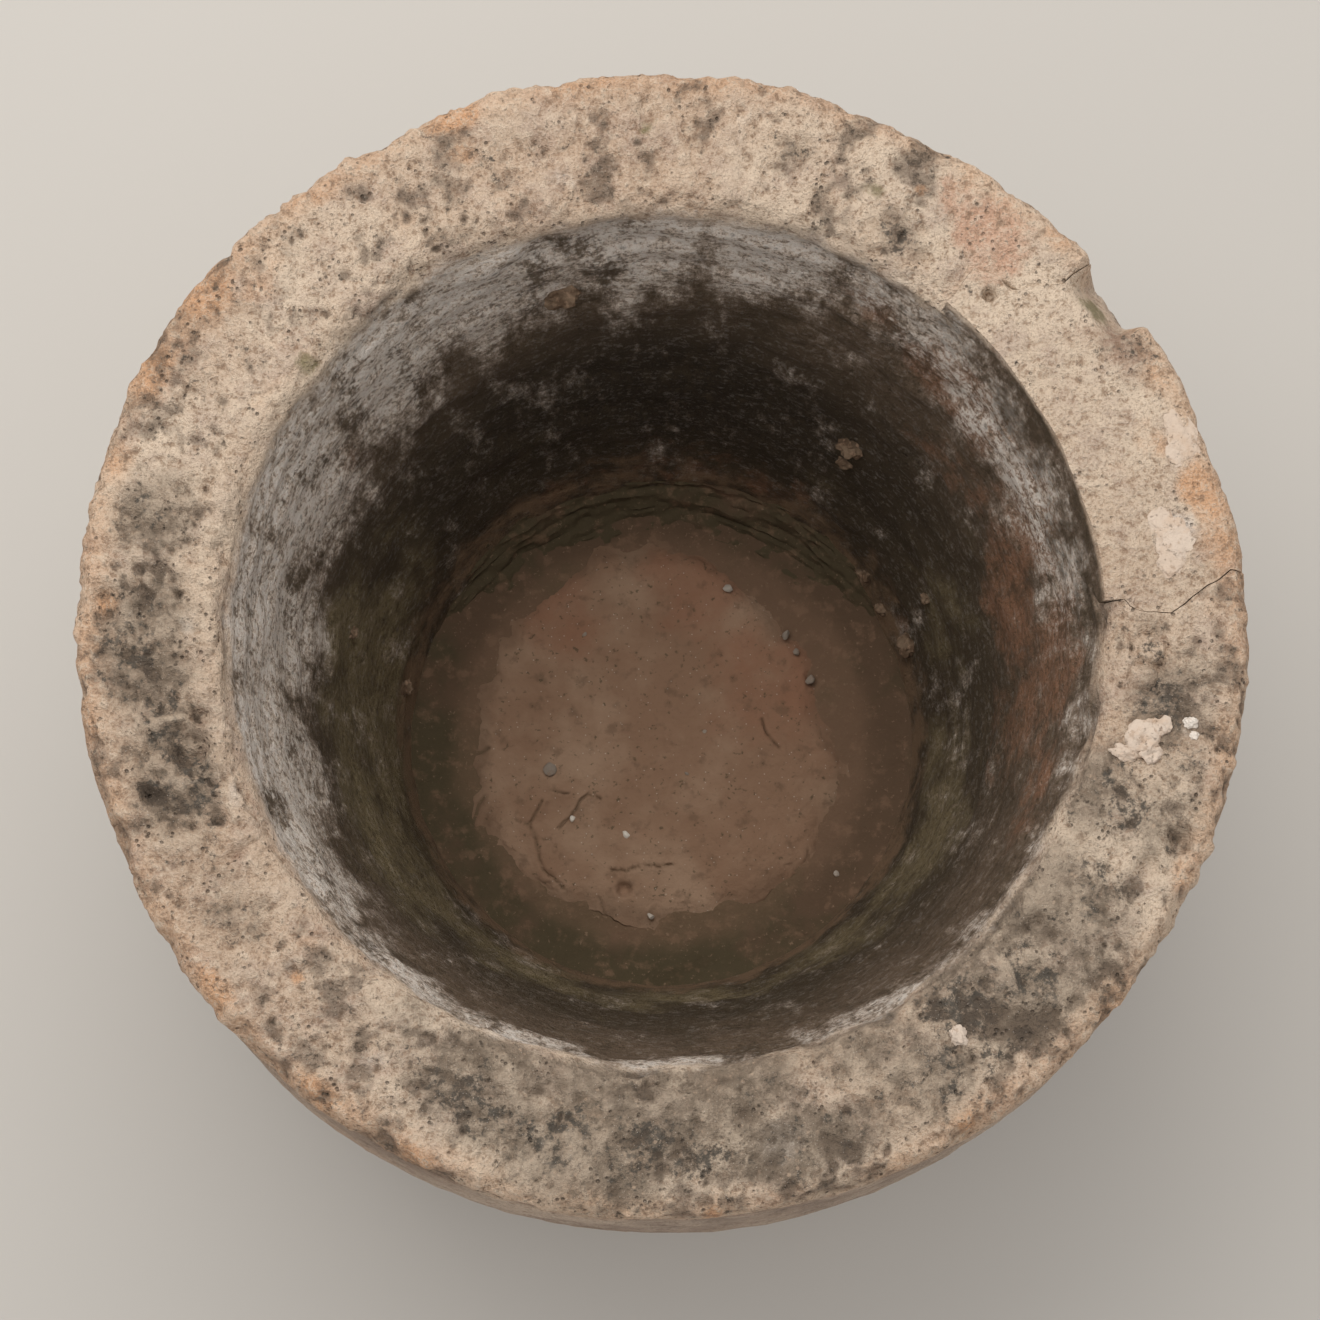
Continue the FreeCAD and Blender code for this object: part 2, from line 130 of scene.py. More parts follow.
# Stains on the rim: angle, reach, half width outwards, half length round the rim (millimetres) and strength.
STAINS = {
    "lichen": (
        (166, 253, 20, 22, 0.45), (181, 252, 24, 40, 0.55), (189, 246, 26, 34, 0.6), (199, 240, 24, 34, 0.7),
        (206, 242, 20, 24, 0.5), (215, 245, 16, 20, 0.35), (237, 237, 16, 24, 0.45), (249, 247, 17, 26, 0.9),
        (259, 248, 19, 30, 1.0), (268, 249, 18, 24, 0.95), (274, 254, 17, 18, 0.75), (256, 266, 9, 22, 0.6),
        (291, 246, 16, 20, 0.4), (301, 250, 20, 20, 0.7), (307, 230, 19, 22, 0.95), (316, 238, 20, 22, 0.9),
        (307, 260, 16, 18, 0.6), (324, 242, 18, 20, 0.7), (330, 237, 18, 20, 0.7), (339, 236, 18, 22, 0.7),
        (351, 239, 18, 20, 0.9), (344, 235, 14, 14, 0.8), (345, 258, 16, 12, 0.6), (92, 258, 13, 11, 0.75),
        (74, 245, 15, 10, 0.85), (59, 226, 15, 18, 0.75), (111, 245, 18, 16, 0.6), (104, 246, 12, 10, 0.5),
        (65, 234, 11, 12, 0.6), (115, 223, 10, 16, 0.6), (141, 257, 16, 18, 0.35), (147, 266, 12, 14, 0.3),
        (357, 233, 10, 9, 0.7), (46, 225, 6, 5, 0.6), (336, 264, 11, 12, 0.5),
    ),
    "lime": (
        (283, 251, 15, 17, 1.0), (265, 229, 8, 8, 0.6), (180, 227, 7, 9, 0.7), (203, 217, 8, 12, 0.8),
        (305, 240, 7, 7, 0.8), (237, 247, 10, 12, 0.5), (224, 238, 8, 9, 0.5), (81, 257, 12, 10, 0.4),
        (103, 229, 9, 14, 0.6), (20, 267, 12, 16, 0.9), (10, 249, 15, 19, 1.0), (16, 238, 12, 26, 0.35),
        (349, 256, 9, 9, 0.6), (128, 245, 14, 22, 0.35), (152, 240, 16, 22, 0.3), (36, 232, 10, 14, 0.5),
    ),
    "rust": (
        (113, 276, 12, 20, 1.0), (129, 276, 14, 24, 0.85), (143, 277, 16, 26, 0.85), (154, 277, 14, 24, 0.75),
        (163, 274, 12, 18, 0.65), (178, 266, 8, 9, 1.0), (190, 276, 8, 26, 0.5), (275, 279, 6, 7, 1.0),
        (301, 276, 6, 6, 0.9), (220, 272, 9, 20, 0.9), (235, 275, 9, 18, 0.8), (246, 277, 8, 16, 0.7),
        (334, 274, 9, 14, 0.6), (320, 276, 8, 20, 0.5), (345, 277, 6, 20, 0.5), (45, 272, 10, 12, 0.6),
        (113, 258, 10, 12, 0.7), (60, 253, 4, 4, 0.9), (225, 240, 4, 5, 0.9), (138, 262, 16, 22, 0.6),
        (57, 267, 12, 16, 0.5), (150, 262, 18, 26, 0.4), (99, 277, 6, 30, 0.4), (84, 277, 6, 24, 0.35),
        (14, 266, 13, 20, 0.8), (27, 264, 14, 18, 0.8), (2, 262, 7, 12, 0.35), (18, 232, 12, 26, 0.4),
        (22, 252, 14, 18, 0.6), (8, 268, 12, 16, 0.6),
    ),
    "moss": (
        (143, 217, 9, 9, 0.9), (65, 241, 6, 10, 0.8), (165, 242, 8, 8, 0.7), (257, 241, 10, 22, 0.45),
        (37, 266, 12, 14, 1.0), (59, 210, 10, 14, 0.7), (92, 250, 7, 8, 0.6), (74, 240, 10, 8, 0.5),
        (273, 243, 10, 16, 0.35),
    ),
    "fresh": ((51, 250, 37, 32, 1.0), (56, 262, 22, 20, 0.9), (47, 262, 16, 16, 0.7)),
    "bruise": (
        (31, 262, 18, 24, 0.9), (35, 248, 14, 16, 0.5), (43, 262, 12, 10, 0.5), (24, 240, 10, 14, 0.3),
        (195, 231, 12, 13, 1.0), (193, 226, 7, 8, 1.0), (209, 227, 14, 4, 0.8),
    ),
    "veil": (
        (168, 248, 30, 40, 0.9), (182, 244, 34, 60, 1.0), (197, 241, 34, 60, 1.0), (212, 243, 30, 44, 0.75),
        (228, 236, 18, 34, 0.4), (240, 242, 24, 45, 0.6), (252, 247, 27, 45, 0.95), (263, 248, 27, 50, 1.0),
        (275, 250, 25, 40, 0.9), (288, 246, 27, 40, 0.65), (300, 246, 31, 45, 0.9), (312, 244, 33, 50, 0.95),
        (325, 244, 31, 45, 0.85), (338, 246, 31, 40, 0.8), (350, 244, 29, 36, 0.85), (108, 246, 24, 30, 0.5),
        (92, 255, 18, 20, 0.5), (74, 246, 20, 20, 0.55), (60, 228, 18, 24, 0.6), (145, 258, 22, 34, 0.35),
        (130, 250, 20, 30, 0.25), (118, 222, 10, 26, 0.5), (236, 222, 24, 50, 0.6), (250, 221, 28, 50, 0.9),
        (265, 220, 30, 50, 1.0), (280, 220, 30, 50, 1.0), (295, 220, 30, 50, 1.0), (310, 220, 30, 50, 1.0),
        (325, 220, 30, 50, 1.0), (338, 220, 30, 40, 0.9), (262, 258, 30, 70, 1.0), (285, 256, 30, 60, 0.95),
        (320, 258, 26, 60, 0.8), (342, 258, 26, 44, 0.8), (272, 236, 30, 70, 1.0), (246, 240, 32, 50, 0.9),
        (354, 250, 26, 30, 0.8), (360, 232, 16, 16, 0.6),
    ),
}
# Stains and painted shade on the hollow's wall: angle, level, half height and half length round the wall
# (millimetres) and strength.
WALL_STAINS = {
    "bloom": (
        (60, 378, 52, 50, 0.75), (75, 370, 68, 60, 0.9), (95, 366, 74, 60, 1.0), (115, 362, 82, 60, 1.0),
        (135, 354, 92, 60, 1.0), (155, 346, 98, 60, 1.0), (175, 342, 108, 60, 1.0), (195, 348, 104, 60, 1.0),
        (213, 362, 78, 50, 0.95), (230, 372, 56, 50, 0.85), (250, 378, 40, 60, 0.75), (275, 378, 34, 60, 0.6),
        (300, 376, 38, 60, 0.7), (320, 376, 34, 50, 0.5), (338, 376, 30, 44, 0.3), (352, 374, 40, 36, 0.4),
        (165, 282, 24, 60, 0.4), (50, 356, 44, 44, 0.8), (36, 350, 44, 44, 0.8), (22, 348, 44, 44, 0.75),
        (8, 348, 44, 44, 0.7),
    ),
    "earth": (
        (40, 340, 40, 60, 1.0), (20, 335, 46, 60, 1.0), (0, 330, 46, 60, 0.9), (340, 330, 40, 50, 0.7),
        (12, 280, 50, 70, 0.9), (352, 270, 50, 60, 0.8), (36, 280, 40, 60, 0.6),
        (60, 352, 26, 40, 0.7), (350, 280, 40, 60, 0.4), (150, 310, 30, 50, 0.4), (85, 140, 44, 70, 0.6),
        (65, 130, 40, 60, 0.6), (110, 126, 30, 50, 0.5), (30, 120, 22, 60, 0.4),
    ),
    "algae": (
        (172, 180, 110, 90, 1.0), (192, 180, 110, 90, 1.0), (212, 180, 100, 90, 1.0), (330, 180, 80, 80, 0.8),
        (300, 160, 60, 80, 0.8), (240, 160, 80, 90, 0.9), (268, 150, 60, 90, 0.8), (350, 160, 60, 70, 0.7),
        (152, 200, 60, 50, 0.6), (20, 180, 60, 70, 0.5),
    ),
    # Painted shade on the far stretch of the wall.
    "damp_and_shade": (
        (90, 220, 90, 130, 1.0), (70, 210, 80, 90, 0.8), (112, 215, 85, 90, 0.8), (132, 200, 70, 70, 0.5),
        (48, 210, 70, 60, 0.5),
    ),
    "foot": (
        *((angle, 98, 42, 60, 1.0) for angle in (0, 12, 24, 170, *range(180, 360, 12))),
        *((angle, 114, 50, 60, 0.76) for angle in range(36, 168, 12)),
    ),
    # A darker band on the fill's inner face and the wall just under the mouth there.
    "dark_band": (
        (45, 374, 34, 30, 0.6), (30, 370, 38, 44, 0.85), (15, 368, 40, 40, 0.9), (5, 368, 36, 28, 0.8),
        (60, 380, 24, 40, 0.5), (352, 382, 18, 30, 0.5), (74, 386, 12, 30, 0.4),
    ),
}

# The break in the rim, seen from above, in millimetres: its crack on the near side, then round outside the
# rim, its edge against the fresh face, and back through the hollow.
BREAK_OUTLINE = (
    (196, 14), (221, 13), (224, 10), (229, 8), (237, 7), (243, 6), (248, 10), (255, 15), (261, 19), (267, 22),
    (272, 27), (278, 27), (304, 31), (306, 92), (284, 150), (228, 198), (202, 176), (194, 170), (184, 169),
    (173, 167), (160, 175), (152, 178), (143, 166), (126, 150), (160, 92), (188, 44),
)
BREAK_LEVELS = (0.425, 0.386, 0.352)
BREAK_MIDDLE = (0.213, 0.095)
BREAK_FACING = 25
BREAK_TAPER = 0.5
# The two boards that the fill was cast against: the direction each faces and its distance from the axis.
BOARDS = ((32.9, 0.2113), (19.1, 0.2114))
FILL_SECTION = (
    (0.2812, 0.3350), (0.2802, 0.3935), (0.2750, 0.3990), (0.2050, 0.3945), (0.2050, 0.3350),
    (0.2812, 0.3350),
)
FILL_ROWS = (0.0024, 0.0019, 0.0019, 0.0024, 0.02)
FILL_ARC = (-6, 62)
FILL_STEPS = 160
FILL_GRIP = (0.205, 0.250)

# Lumps of lime and mortar on the rim: angle, reach, half width outwards, half length round the rim and
# height, in millimetres, and how white each is.
SPLASHES = (
    (346.5, 236, 8, 9, 5.0, 0.40), (344.3, 229, 7, 4, 3.5, 0.35), (348.2, 242, 5, 5, 4.0, 0.45),
    (345.0, 240, 5, 5, 4.0, 0.40), (349.2, 255, 3.6, 3, 4.0, 0.95), (347.9, 258, 2.2, 2.4, 3.0, 0.9),
    (305.2, 240, 5, 4, 3.2, 0.45), (20.3, 267, 7, 12, 1.3, 0.3), (18.6, 262, 5, 6, 1.1, 0.35),
    (9.6, 251, 10, 11, 1.5, 0.4), (7.4, 246, 7, 8, 1.4, 0.3), (11.8, 246, 6, 7, 1.2, 0.35),
)

# The dried mud, seen from above, in millimetres: its outline, its cracks with their half widths, and its
# hollows with their radius and depth.
MUD_MIDDLE = (-5, 6)
MUD_OUTLINE = (
    (-105, 23), (-95, 55), (-77, 80), (-53, 101), (-36, 114), (-17, 109), (-2, 116), (16, 112), (33, 106),
    (46, 93), (60, 76), (71, 63), (88, 53), (90, 33), (91, 16), (102, -3), (106, -20), (102, -36), (96, -53),
    (85, -71), (67, -82), (45, -97), (30, -106), (16, -108), (-13, -107), (-31, -101), (-51, -93), (-68, -90),
    (-88, -77), (-101, -58), (-105, -34), (-105, -7),
)
MUD_CRACKS = (
    (1.5, ((-67, -36), (-71, -43), (-75, -50), (-70, -57), (-69, -68), (-67, -74), (-62, -79), (-55, -85))),
    (1.3, ((-58, -51), (-51, -45), (-46, -36), (-41, -31), (-34, -34))),
    (1.0, ((-62, -30), (-52, -31))),
    (1.2, ((-29, -75), (-21, -76), (-13, -73), (-2, -73), (6, -72))),
    (1.5, ((10, -107), (14, -107), (25, -106), (30, -103), (34, -102))),
    (1.6, ((-107, -49), (-103, -38), (-100, -33))),
    (1.8, ((-104, -8), (-98, -6))),
    (1.0, ((-35, -90), (-32, -101), (-28, -102))),
    (1.2, ((57, 12), (60, 3), (66, -5))),
    (1.1, ((76, -75), (82, -69), (82, -62))),
    (1.0, ((-75, -50), (-84, -46))),
    (0.9, ((-70, -57), (-61, -58))),
)
MUD_DENTS = (
    (-21, -86, 6, 5.0), (0, 62, 14, 1.6), (-30, 30, 26, 1.2), (60, 20, 18, 1.2), (40, -60, 20, -1.2),
    (78, -30, 16, -1.4), (-60, 10, 22, -0.8), (86, 36, 6, 3.0), (20, 100, 10, -1.6), (-34, 104, 9, -1.4),
)
# Stretches of the mud stained red: x, y and the distances at which the stain has faded out and is full.
MUD_RED = ((70, 40, 70, 20), (20, 90, 60, 10), (-60, 70, 45, 10))
MUD_LEVELS = (0.0955, 0.0895)
MUD_RINGS = 104
MUD_STEPS = 560
# Without a seed the cracks' wobble and the chips' faces would change from run to run.
NOISE_SEED = 7
# Chips on the mud: x, y, radius and height in millimetres, and how pale each is.
CHIPS = (
    (-63, -18, 5.0, 2.6, 0.22), (-50, -46, 2.2, 1.6, 0.8), (-20, -55, 2.6, 1.8, 0.85),
    (37, 87, 3.6, 2.8, 0.45), (84, 34, 3.4, 2.6, 0.2), (98, -77, 2.2, 1.8, 0.4),
    (-6, -101, 2.4, 1.8, 0.5), (24, 4, 1.6, 1.2, 0.3), (70, 60, 3.2, 2.4, 0.25),
    (76, 50, 2.6, 2.0, 0.2), (14, -20, 1.5, 1.2, 0.2), (-44, 60, 1.8, 1.4, 0.25),
)
# Crumbs on the hollow's wall: angle, level, half width round the wall and half depth, in millimetres.
CRUMBS = (
    (19.1, 124, 6, 6), (53.6, 221, 7, 7), (53.4, 204, 5, 5), (105.5, 321, 9, 7), (170.4, 120, 5, 5),
    (30.0, 112, 4, 4), (38.0, 118, 5, 4), (24.0, 170, 3, 3), (168.0, 214, 3, 3),
)
# The settled soil: corners of half its section, the size of its rows, and the level over which its top lies.
SOIL_SECTION = ((0.1105, 0.0605), (0.1365, 0.0800), (0.1425, 0.0995), (0.1180, 0.0912), (0.0500, 0.0895))
SOIL_ROWS = (0.006, 0.006, 0.0025, 0.005)
SOIL_STEPS = 260
SOIL_TOP = 0.088
# The bank: the levels of its foot and head, its shoulder as (distance from its back, level), the run of its
# foot, the size of its rows, how far its back goes into the wall, and its arc and the fade of its ends in
# degrees.
BANK_LEVELS = (0.0895, 0.1190)
BANK_SHOULDER = (0.008, 0.0990)
BANK_RUN = 0.024
BANK_ROWS = (0.01, 0.0018, 0.0018, 0.006)
BANK_GRIP = 0.002
BANK_ARC = (8, 172)
BANK_FADE = 45
BANK_STEPS = 200

FLOOR_HALF = 8.0
LAMP_PLACE = Vector((-0.30, 0.70, 1.7))
LAMP_TARGET = Vector((0, 0, 0.3))
LAMP_COLOUR = (1.0, 0.97, 0.93)
SKY_COLOUR = (1.0, 0.985, 0.97, 1.0)
CAMERA_PLACE = Vector((0.0, -0.3463, 1.9621))
CAMERA_TARGET = Vector((-0.001, -0.0185, 0.4))
SENSOR_WIDTH = 36


def tone(red, green, blue):
    """A display colour in steps of 0 to 255, as the linear values that shaders take."""
    def linear(step):
        share = step / 255
        return share / 12.92 if share <= 0.04045 else ((share + 0.055) / 1.055) ** 2.4
    return linear(red), linear(green), linear(blue)


def colour_property(label, meaning, *steps):
    """A colour that a user may change, with its default in steps of 0 to 255."""
    return FloatVectorProperty(name=label, description=meaning, subtype="COLOR", min=0, max=1,
                               default=tone(*steps))


class StoneSettings(PropertyGroup):
    """Sizes and colours of the stone, the mortar and what grows on them."""

    relief: FloatProperty(name="Relief", description="Height of the rim's tool marks and weathering",
                          default=1.0, min=0, max=2, subtype="FACTOR")
    pit_depth: FloatProperty(name="Pit depth", description="Depth of the small pits in the rim",
                             default=1.7 * MM, min=0, unit="LENGTH")
    crack_gap: FloatProperty(name="Crack gap", description="Gap between the stone and the fill in its break",
                             default=0.5 * MM, min=0, unit="LENGTH")
    # Cream is also painted highlight on the ridges and bumps of the rim.
    cream_and_highlight: colour_property("Cream", "Palest stone", 217, 197, 175)
    sand: colour_property("Sand", "Stone's main colour", 194, 168, 145)
    rose: colour_property("Rose grey", "Cooler stretches of the stone", 176, 154, 140)
    # Grit is also painted shade between the stone's fine bumps.
    grit_and_shade: colour_property("Grit", "Darker grains of the stone", 148, 120, 97)
    peach: colour_property("Peach", "Iron stain along the rim's outer edge", 210, 160, 120)
    rust: colour_property("Rust", "Heart of an iron stain", 150, 95, 66)
    salmon: colour_property("Salmon", "Freshly broken stone", 200, 161, 137)
    bruise: colour_property("Bruise", "Brown stretch of the fill", 158, 126, 108)
    # Pore is also painted shade in the hollows and between the bumps of the rim.
    pore_and_shade: colour_property("Pore", "Dirt in the stone's pores", 92, 78, 66)
    lichen: colour_property("Lichen", "Heart of the dark growth on the rim", 74, 71, 66)
    lichen_pale: colour_property("Pale lichen", "Grey veil round the dark growth", 124, 110, 95)
    moss: colour_property("Moss", "Green growth", 108, 102, 64)
    lime: colour_property("Lime", "White bloom and lime", 228, 219, 209)
    mortar: colour_property("Mortar", "Fill of the broken rim", 187, 162, 139)
    # Wall bloom is also painted highlight on the crests of the wall's streaks.
    wall_bloom_and_highlight: colour_property("Wall bloom", "Pale flecks in the bloom under the mouth", 250, 239, 228)
    wall_grey: colour_property("Wall grey", "Grey bloom under the mouth", 236, 215, 196)
    algae: colour_property("Algae", "Olive growth on the wall", 146, 130, 97)
    wall: colour_property("Wall", "Wall of the hollow", 118, 99, 81)
    # Deep wall is also painted shade in the grooves of the wall's streaks.
    wall_deep_and_shade: colour_property("Deep wall", "Wall near the soil", 84, 71, 54)
    # The colour of the painted shade on the far stretch of the wall.
    wall_far_shade: colour_property("Damp wall", "Darkest, wettest stretch of the wall", 54, 44, 33)
    wall_earth: colour_property("Wall earth", "Red earth dried on the wall", 158, 116, 89)
    wall_foot: colour_property("Wall foot", "Soil washed against the foot of the wall", 148, 121, 95)


class SoilSettings(PropertyGroup):
    """Sizes and colours of the soil and the dried mud."""

    crack_depth: FloatProperty(name="Crack depth", description="Depth of the cracks in the mud",
                               default=1.8 * MM, min=0, unit="LENGTH")
    mud: colour_property("Mud", "Dried mud", 136, 107, 86)
    mud_pale: colour_property("Pale mud", "Mud that dried last", 154, 127, 105)
    mud_red: colour_property("Red mud", "Mud stained by iron", 140, 100, 78)
    silt: colour_property("Silt", "Damp silt round the mud", 91, 72, 56)
    silt_green: colour_property("Green silt", "Algae on the silt", 76, 66, 48)
    chip: colour_property("Chip", "Pale stone chip", 226, 218, 206)


class StageSettings(PropertyGroup):
    """The floor, the light and the camera."""

    floor: colour_property("Floor", "Plain pale floor", 196, 192, 186)
    lamp_power: FloatProperty(name="Lamp power", description="Large soft lamp over the far side",
                              default=19.0, min=0, unit="POWER")
    lamp_size: FloatProperty(name="Lamp size", description="Side of the soft lamp",
                             default=1.5, unit="LENGTH")
    sky: FloatProperty(name="Sky", description="Even light from all round", default=0.76, min=0)
    lens: FloatProperty(name="Lens", description="Focal length on a 36 mm wide sensor", default=91.6,
                        unit="CAMERA")


def smooth(low, high, value):
    """0 at low and 1 at high, with an even S between; high may be the lesser. Takes numbers and arrays."""
    share = np.clip((value - low) / (high - low), 0.0, 1.0)
    return share * share * (3 - 2 * share)


def ease(low, high, value):
    """The same S for a single number, without the cost of an array."""
    share = min(max((value - low) / (high - low), 0.0), 1.0)
    return share * share * (3 - 2 * share)


def turn(angle, middle):
    """How far one angle is from another, in degrees from -180 to 180."""
    return (angle - middle + 180) % 360 - 180


def arc(angle, start, end, fade=7):
    """1 between two angles and 0 outside, with a fade at both ends."""
    half = (end - start) / 2
    return ease(half + fade / 2, half - fade / 2, abs(turn(angle, start + half)))


def on_ring(angle, reach, level):
    """The point at an angle in degrees, a reach and a level."""
    return Vector((reach * math.cos(math.radians(angle)), reach * math.sin(math.radians(angle)), level))


def wall_reach(level):
    """How far the hollow's wall is from the axis at a level."""
    return WALL_FOOT[0] + (level - WALL_FOOT[1]) * WALL_LEAN


def rim_swell(angle, reach, level):
    """How far the rim's outer edge stands out of a true round, at a place on it or near it."""
    angles, offsets = zip(*RIM_WANDER)
    swell = float(np.interp(angle % 360, angles, offsets)) * MM
    return swell * ease(0.240, 0.280, reach) * ease(0.27, 0.37, level)


def outwards(place):
    """The level direction from the axis to a point."""
    return Vector((place.x, place.y, 0)).normalized()


def with_normals(bm):
    """Every point with the direction that it faces before any of them moves."""
    bm.normal_update()
    return [(vert, vert.normal.copy()) for vert in bm.verts]


def outline_wire(bm, section, rows):
    """A half section in the XZ plane, cut into rows of about the given sizes."""
    corners = [bm.verts.new((reach, 0, level)) for reach, level in section]
    runs = [bm.edges.new(pair) for pair in zip(corners, corners[1:])]
    for edge, row in zip(runs, rows):
        cuts = round(edge.calc_length() / row) - 1
        if cuts > 0:
            bmesh.ops.subdivide_edges(bm, edges=[edge], cuts=cuts)


def round_corners(bm, chosen, times):
    """Wears the corners of a wire round."""
    for _ in range(times):
        bmesh.ops.smooth_vert(bm, verts=chosen, factor=0.5, use_axis_x=True, use_axis_y=False,
                              use_axis_z=True)


def spun(bm, steps, start=0, end=360):
    """Turns a wire about the vertical axis and closes the form."""
    bmesh.ops.rotate(bm, verts=bm.verts, cent=(0, 0, 0), matrix=Matrix.Rotation(math.radians(start), 3, "Z"))
    bmesh.ops.spin(bm, geom=bm.verts[:] + bm.edges[:], cent=(0, 0, 0), axis=(0, 0, 1), dvec=(0, 0, 0),
                   angle=math.radians(end - start), steps=steps, use_merge=end - start == 360)
    bmesh.ops.remove_doubles(bm, verts=bm.verts, dist=1e-6)
    bmesh.ops.holes_fill(bm, edges=[edge for edge in bm.edges if edge.is_boundary])
    bmesh.ops.recalc_face_normals(bm, faces=bm.faces)


def polar(place):
    """A point's angle in degrees and its reach."""
    return math.degrees(math.atan2(place.y, place.x)) % 360, math.hypot(place.x, place.y)


def within_box(place):
    """Keeps a point inside the box of the frame."""
    low, high = CAD_BOX
    for axis in range(3):
        place[axis] = min(max(place[axis], low[axis]), high[axis])


def bite_drop(angle, reach, level):
    """How far the pieces knocked off the outer edge let the surface down at a place near the rim."""
    drop = 0.0
    for middle, half, inwards, depth in EDGE_BITES:
        along = abs(math.radians(turn(angle, middle))) * RIM_EDGE / half
        if along < 1:
            on_top = ease(RIM_EDGE - inwards, RIM_EDGE, reach / MM)
            on_side = ease(0.330, 0.394, level)
            share = on_top if level > TOP_LEVEL else min(on_top, on_side)
            drop = max(drop, depth * MM * share * ease(1.0, 0.45, along))
    return drop


def dent_drop(angle, reach):
    """How far the hollows in the rim's top let the surface down."""
    drop = 0.0
    for middle, out, half_out, half_round, depth in RIM_DENTS:
        along = math.radians(turn(angle, middle)) * out / half_round
        across = (reach / MM - out) / half_out
        distance = math.hypot(along, across)
        if distance < 1:
            drop = max(drop, depth * MM * ease(1.0, 0.35, distance))
    for middle, out, radius, half, depth in RING_GROOVES:
        along = math.radians(turn(angle, middle)) * out
        distance = abs(math.hypot(along, reach / MM - out) - radius) / half
        if distance < 1:
            drop += depth * MM * ease(1.0, 0.2, distance)
    return drop


def pitted(place, scale, share):
    """0 on sound stone and 1 in the middle of a pit; share is how many of the cells have one."""
    distances, points = noise.voronoi(place * scale)
    chance = 0.5 + 0.5 * noise.cell(points[0] * 7.3)
    return ease(0.42, 0.10, distances[0]) if chance < share else 0.0


def rim_relief(place, angle, reach, settings):
    """Height of the hewn, weathered top of the rim: noises in millimetres, with their waves to the metre."""
    height = 1.5 * noise.fractal(place * 13, 1.0, 2.0, 3)
    height += 1.5 * noise.fractal(place * 50 + Vector((3, 7, 1)), 0.9, 2.1, 3)
    height += 1.5 * noise.fractal(place * 125 + Vector((8, 1, 6)), 0.8, 2.0, 2)
    height += 0.80 * noise.noise(place * 270)
    chisel = arc(angle, 58, 124)
    if chisel > 0:
        height += 2.8 * chisel * noise.noise(Vector((angle * 0.24, reach * 20, 5.0)))
    crag = max(arc(angle, 160, 206), 0.5 * arc(angle, 238, 282)) * ease(0.268, 0.256, reach)
    if crag > 0:
        height += crag * (1.7 - 5.5 * abs(noise.fractal(place * 72 + Vector((9, 2, 4)), 0.8, 2.1, 4)))
    coarse = arc(angle, 285, 358)
    height += coarse * 1.8 * noise.fractal(place * 80, 0.7, 2.2, 2)
    fresh = arc(angle, 44, 58, 5)
    depth = settings.pit_depth / MM * (1 - 0.85 * fresh)
    height -= depth * pitted(place, 120, 0.30 + 0.25 * coarse)
    height -= 0.7 * depth * pitted(place + Vector((0.1, 0.2, 0)), 215, 0.35)
    lip = arc(angle, 150, 215, 16) * ease(0.230, 0.223, reach)
    return (height * (1 - 0.5 * fresh) + 1.4 * lip) * MM


def spall_drop(angle, reach):
    """How far the freshly broken stretch lies under the rest of the rim."""
    return 3.0 * MM * arc(angle, 44, 58, 8) * ease(0.285, 0.245, reach)


def side_relief(place):
    """Height of the pick marks on the stone's outside, at or under the turned form."""
    distances, points = noise.voronoi(place * 48)
    mark = ease(0.55, 0.05, distances[0]) * (0.6 + 0.4 * noise.cell(points[0] * 5.1))
    broad = noise.fractal(place * 11, 1.0, 2.0, 3)
    rough = noise.fractal(place * 70, 0.8, 2.1, 2)
    return (1.2 * broad - 1.6 * mark + 0.6 * rough - 0.9) * MM


def wall_relief(place, level):
    """Height of the tool marks that run round the hollow's wall."""
    band = noise.fractal(Vector((place.x * 16, place.y * 16, level * 95)), 0.9, 2.0, 3)
    lumps = noise.fractal(place * 34, 0.9, 2.0, 3)
    grain = noise.noise(Vector((place.x * 100, place.y * 100, level * 200)))
    return (1.9 * band + 1.9 * lumps + 0.7 * grain) * MM * (0.4 + 0.6 * ease(0.09, 0.14, level))


def hew_stone(bm, settings):
    """Gives the turned form the wander, bites, tool marks and pits of the real stone."""
    hollow = bm.verts.layers.float.new("hollow")
    for vert, normal in with_normals(bm):
        place = vert.co.copy()
        angle, reach = polar(place)
        level = place.z
        top = ease(TOP_START, TOP_LEVEL, level)
        inside = reach < MOUTH_REACH and level > 0.05
        height = 0.0
        if top > 0:
            height += top * settings.relief * rim_relief(place, angle, reach, settings)
        if top < 1:
            foot = ease(0.004, 0.03, level)
            height += (1 - top) * (wall_relief(place, level) if inside else foot * side_relief(place))
        vert[hollow] = 0.5 - height / (HOLLOW_RANGE * MM)
        place += normal * height
        near_mouth = ease(0.246, 0.222, reach) * ease(0.31, 0.385, level)
        if near_mouth > 0:
            worn = 2.4 * noise.fractal(place * 12 + Vector((4, 4, 4)), 1.0, 2.0, 2)
            worn += 1.3 * noise.noise(place * 48)
            place += outwards(place) * (worn * MM * near_mouth)
        if not inside:
            edge = ease(0.262, 0.280, reach) * ease(0.372, 0.392, level)
            chipped = 2.6 * MM * edge * noise.fractal(place * 85 + Vector((1, 5, 2)), 0.8, 2.0, 3)
            place += outwards(place) * (rim_swell(angle, reach, level) + min(chipped, 0.4 * MM))
        if reach > 0.24:
            place.z -= bite_drop(angle, reach, level)
        if top > 0 and reach > 0.205:
            place.z -= top * (dent_drop(angle, reach) + spall_drop(angle, reach))
        within_box(place)
        vert.co = place


def room_reach(angle):
    """How far the hollow goes before the boards that the fill was cast against."""
    return min(distance / math.cos(math.radians(turn(angle, facing))) for facing, distance in BOARDS)


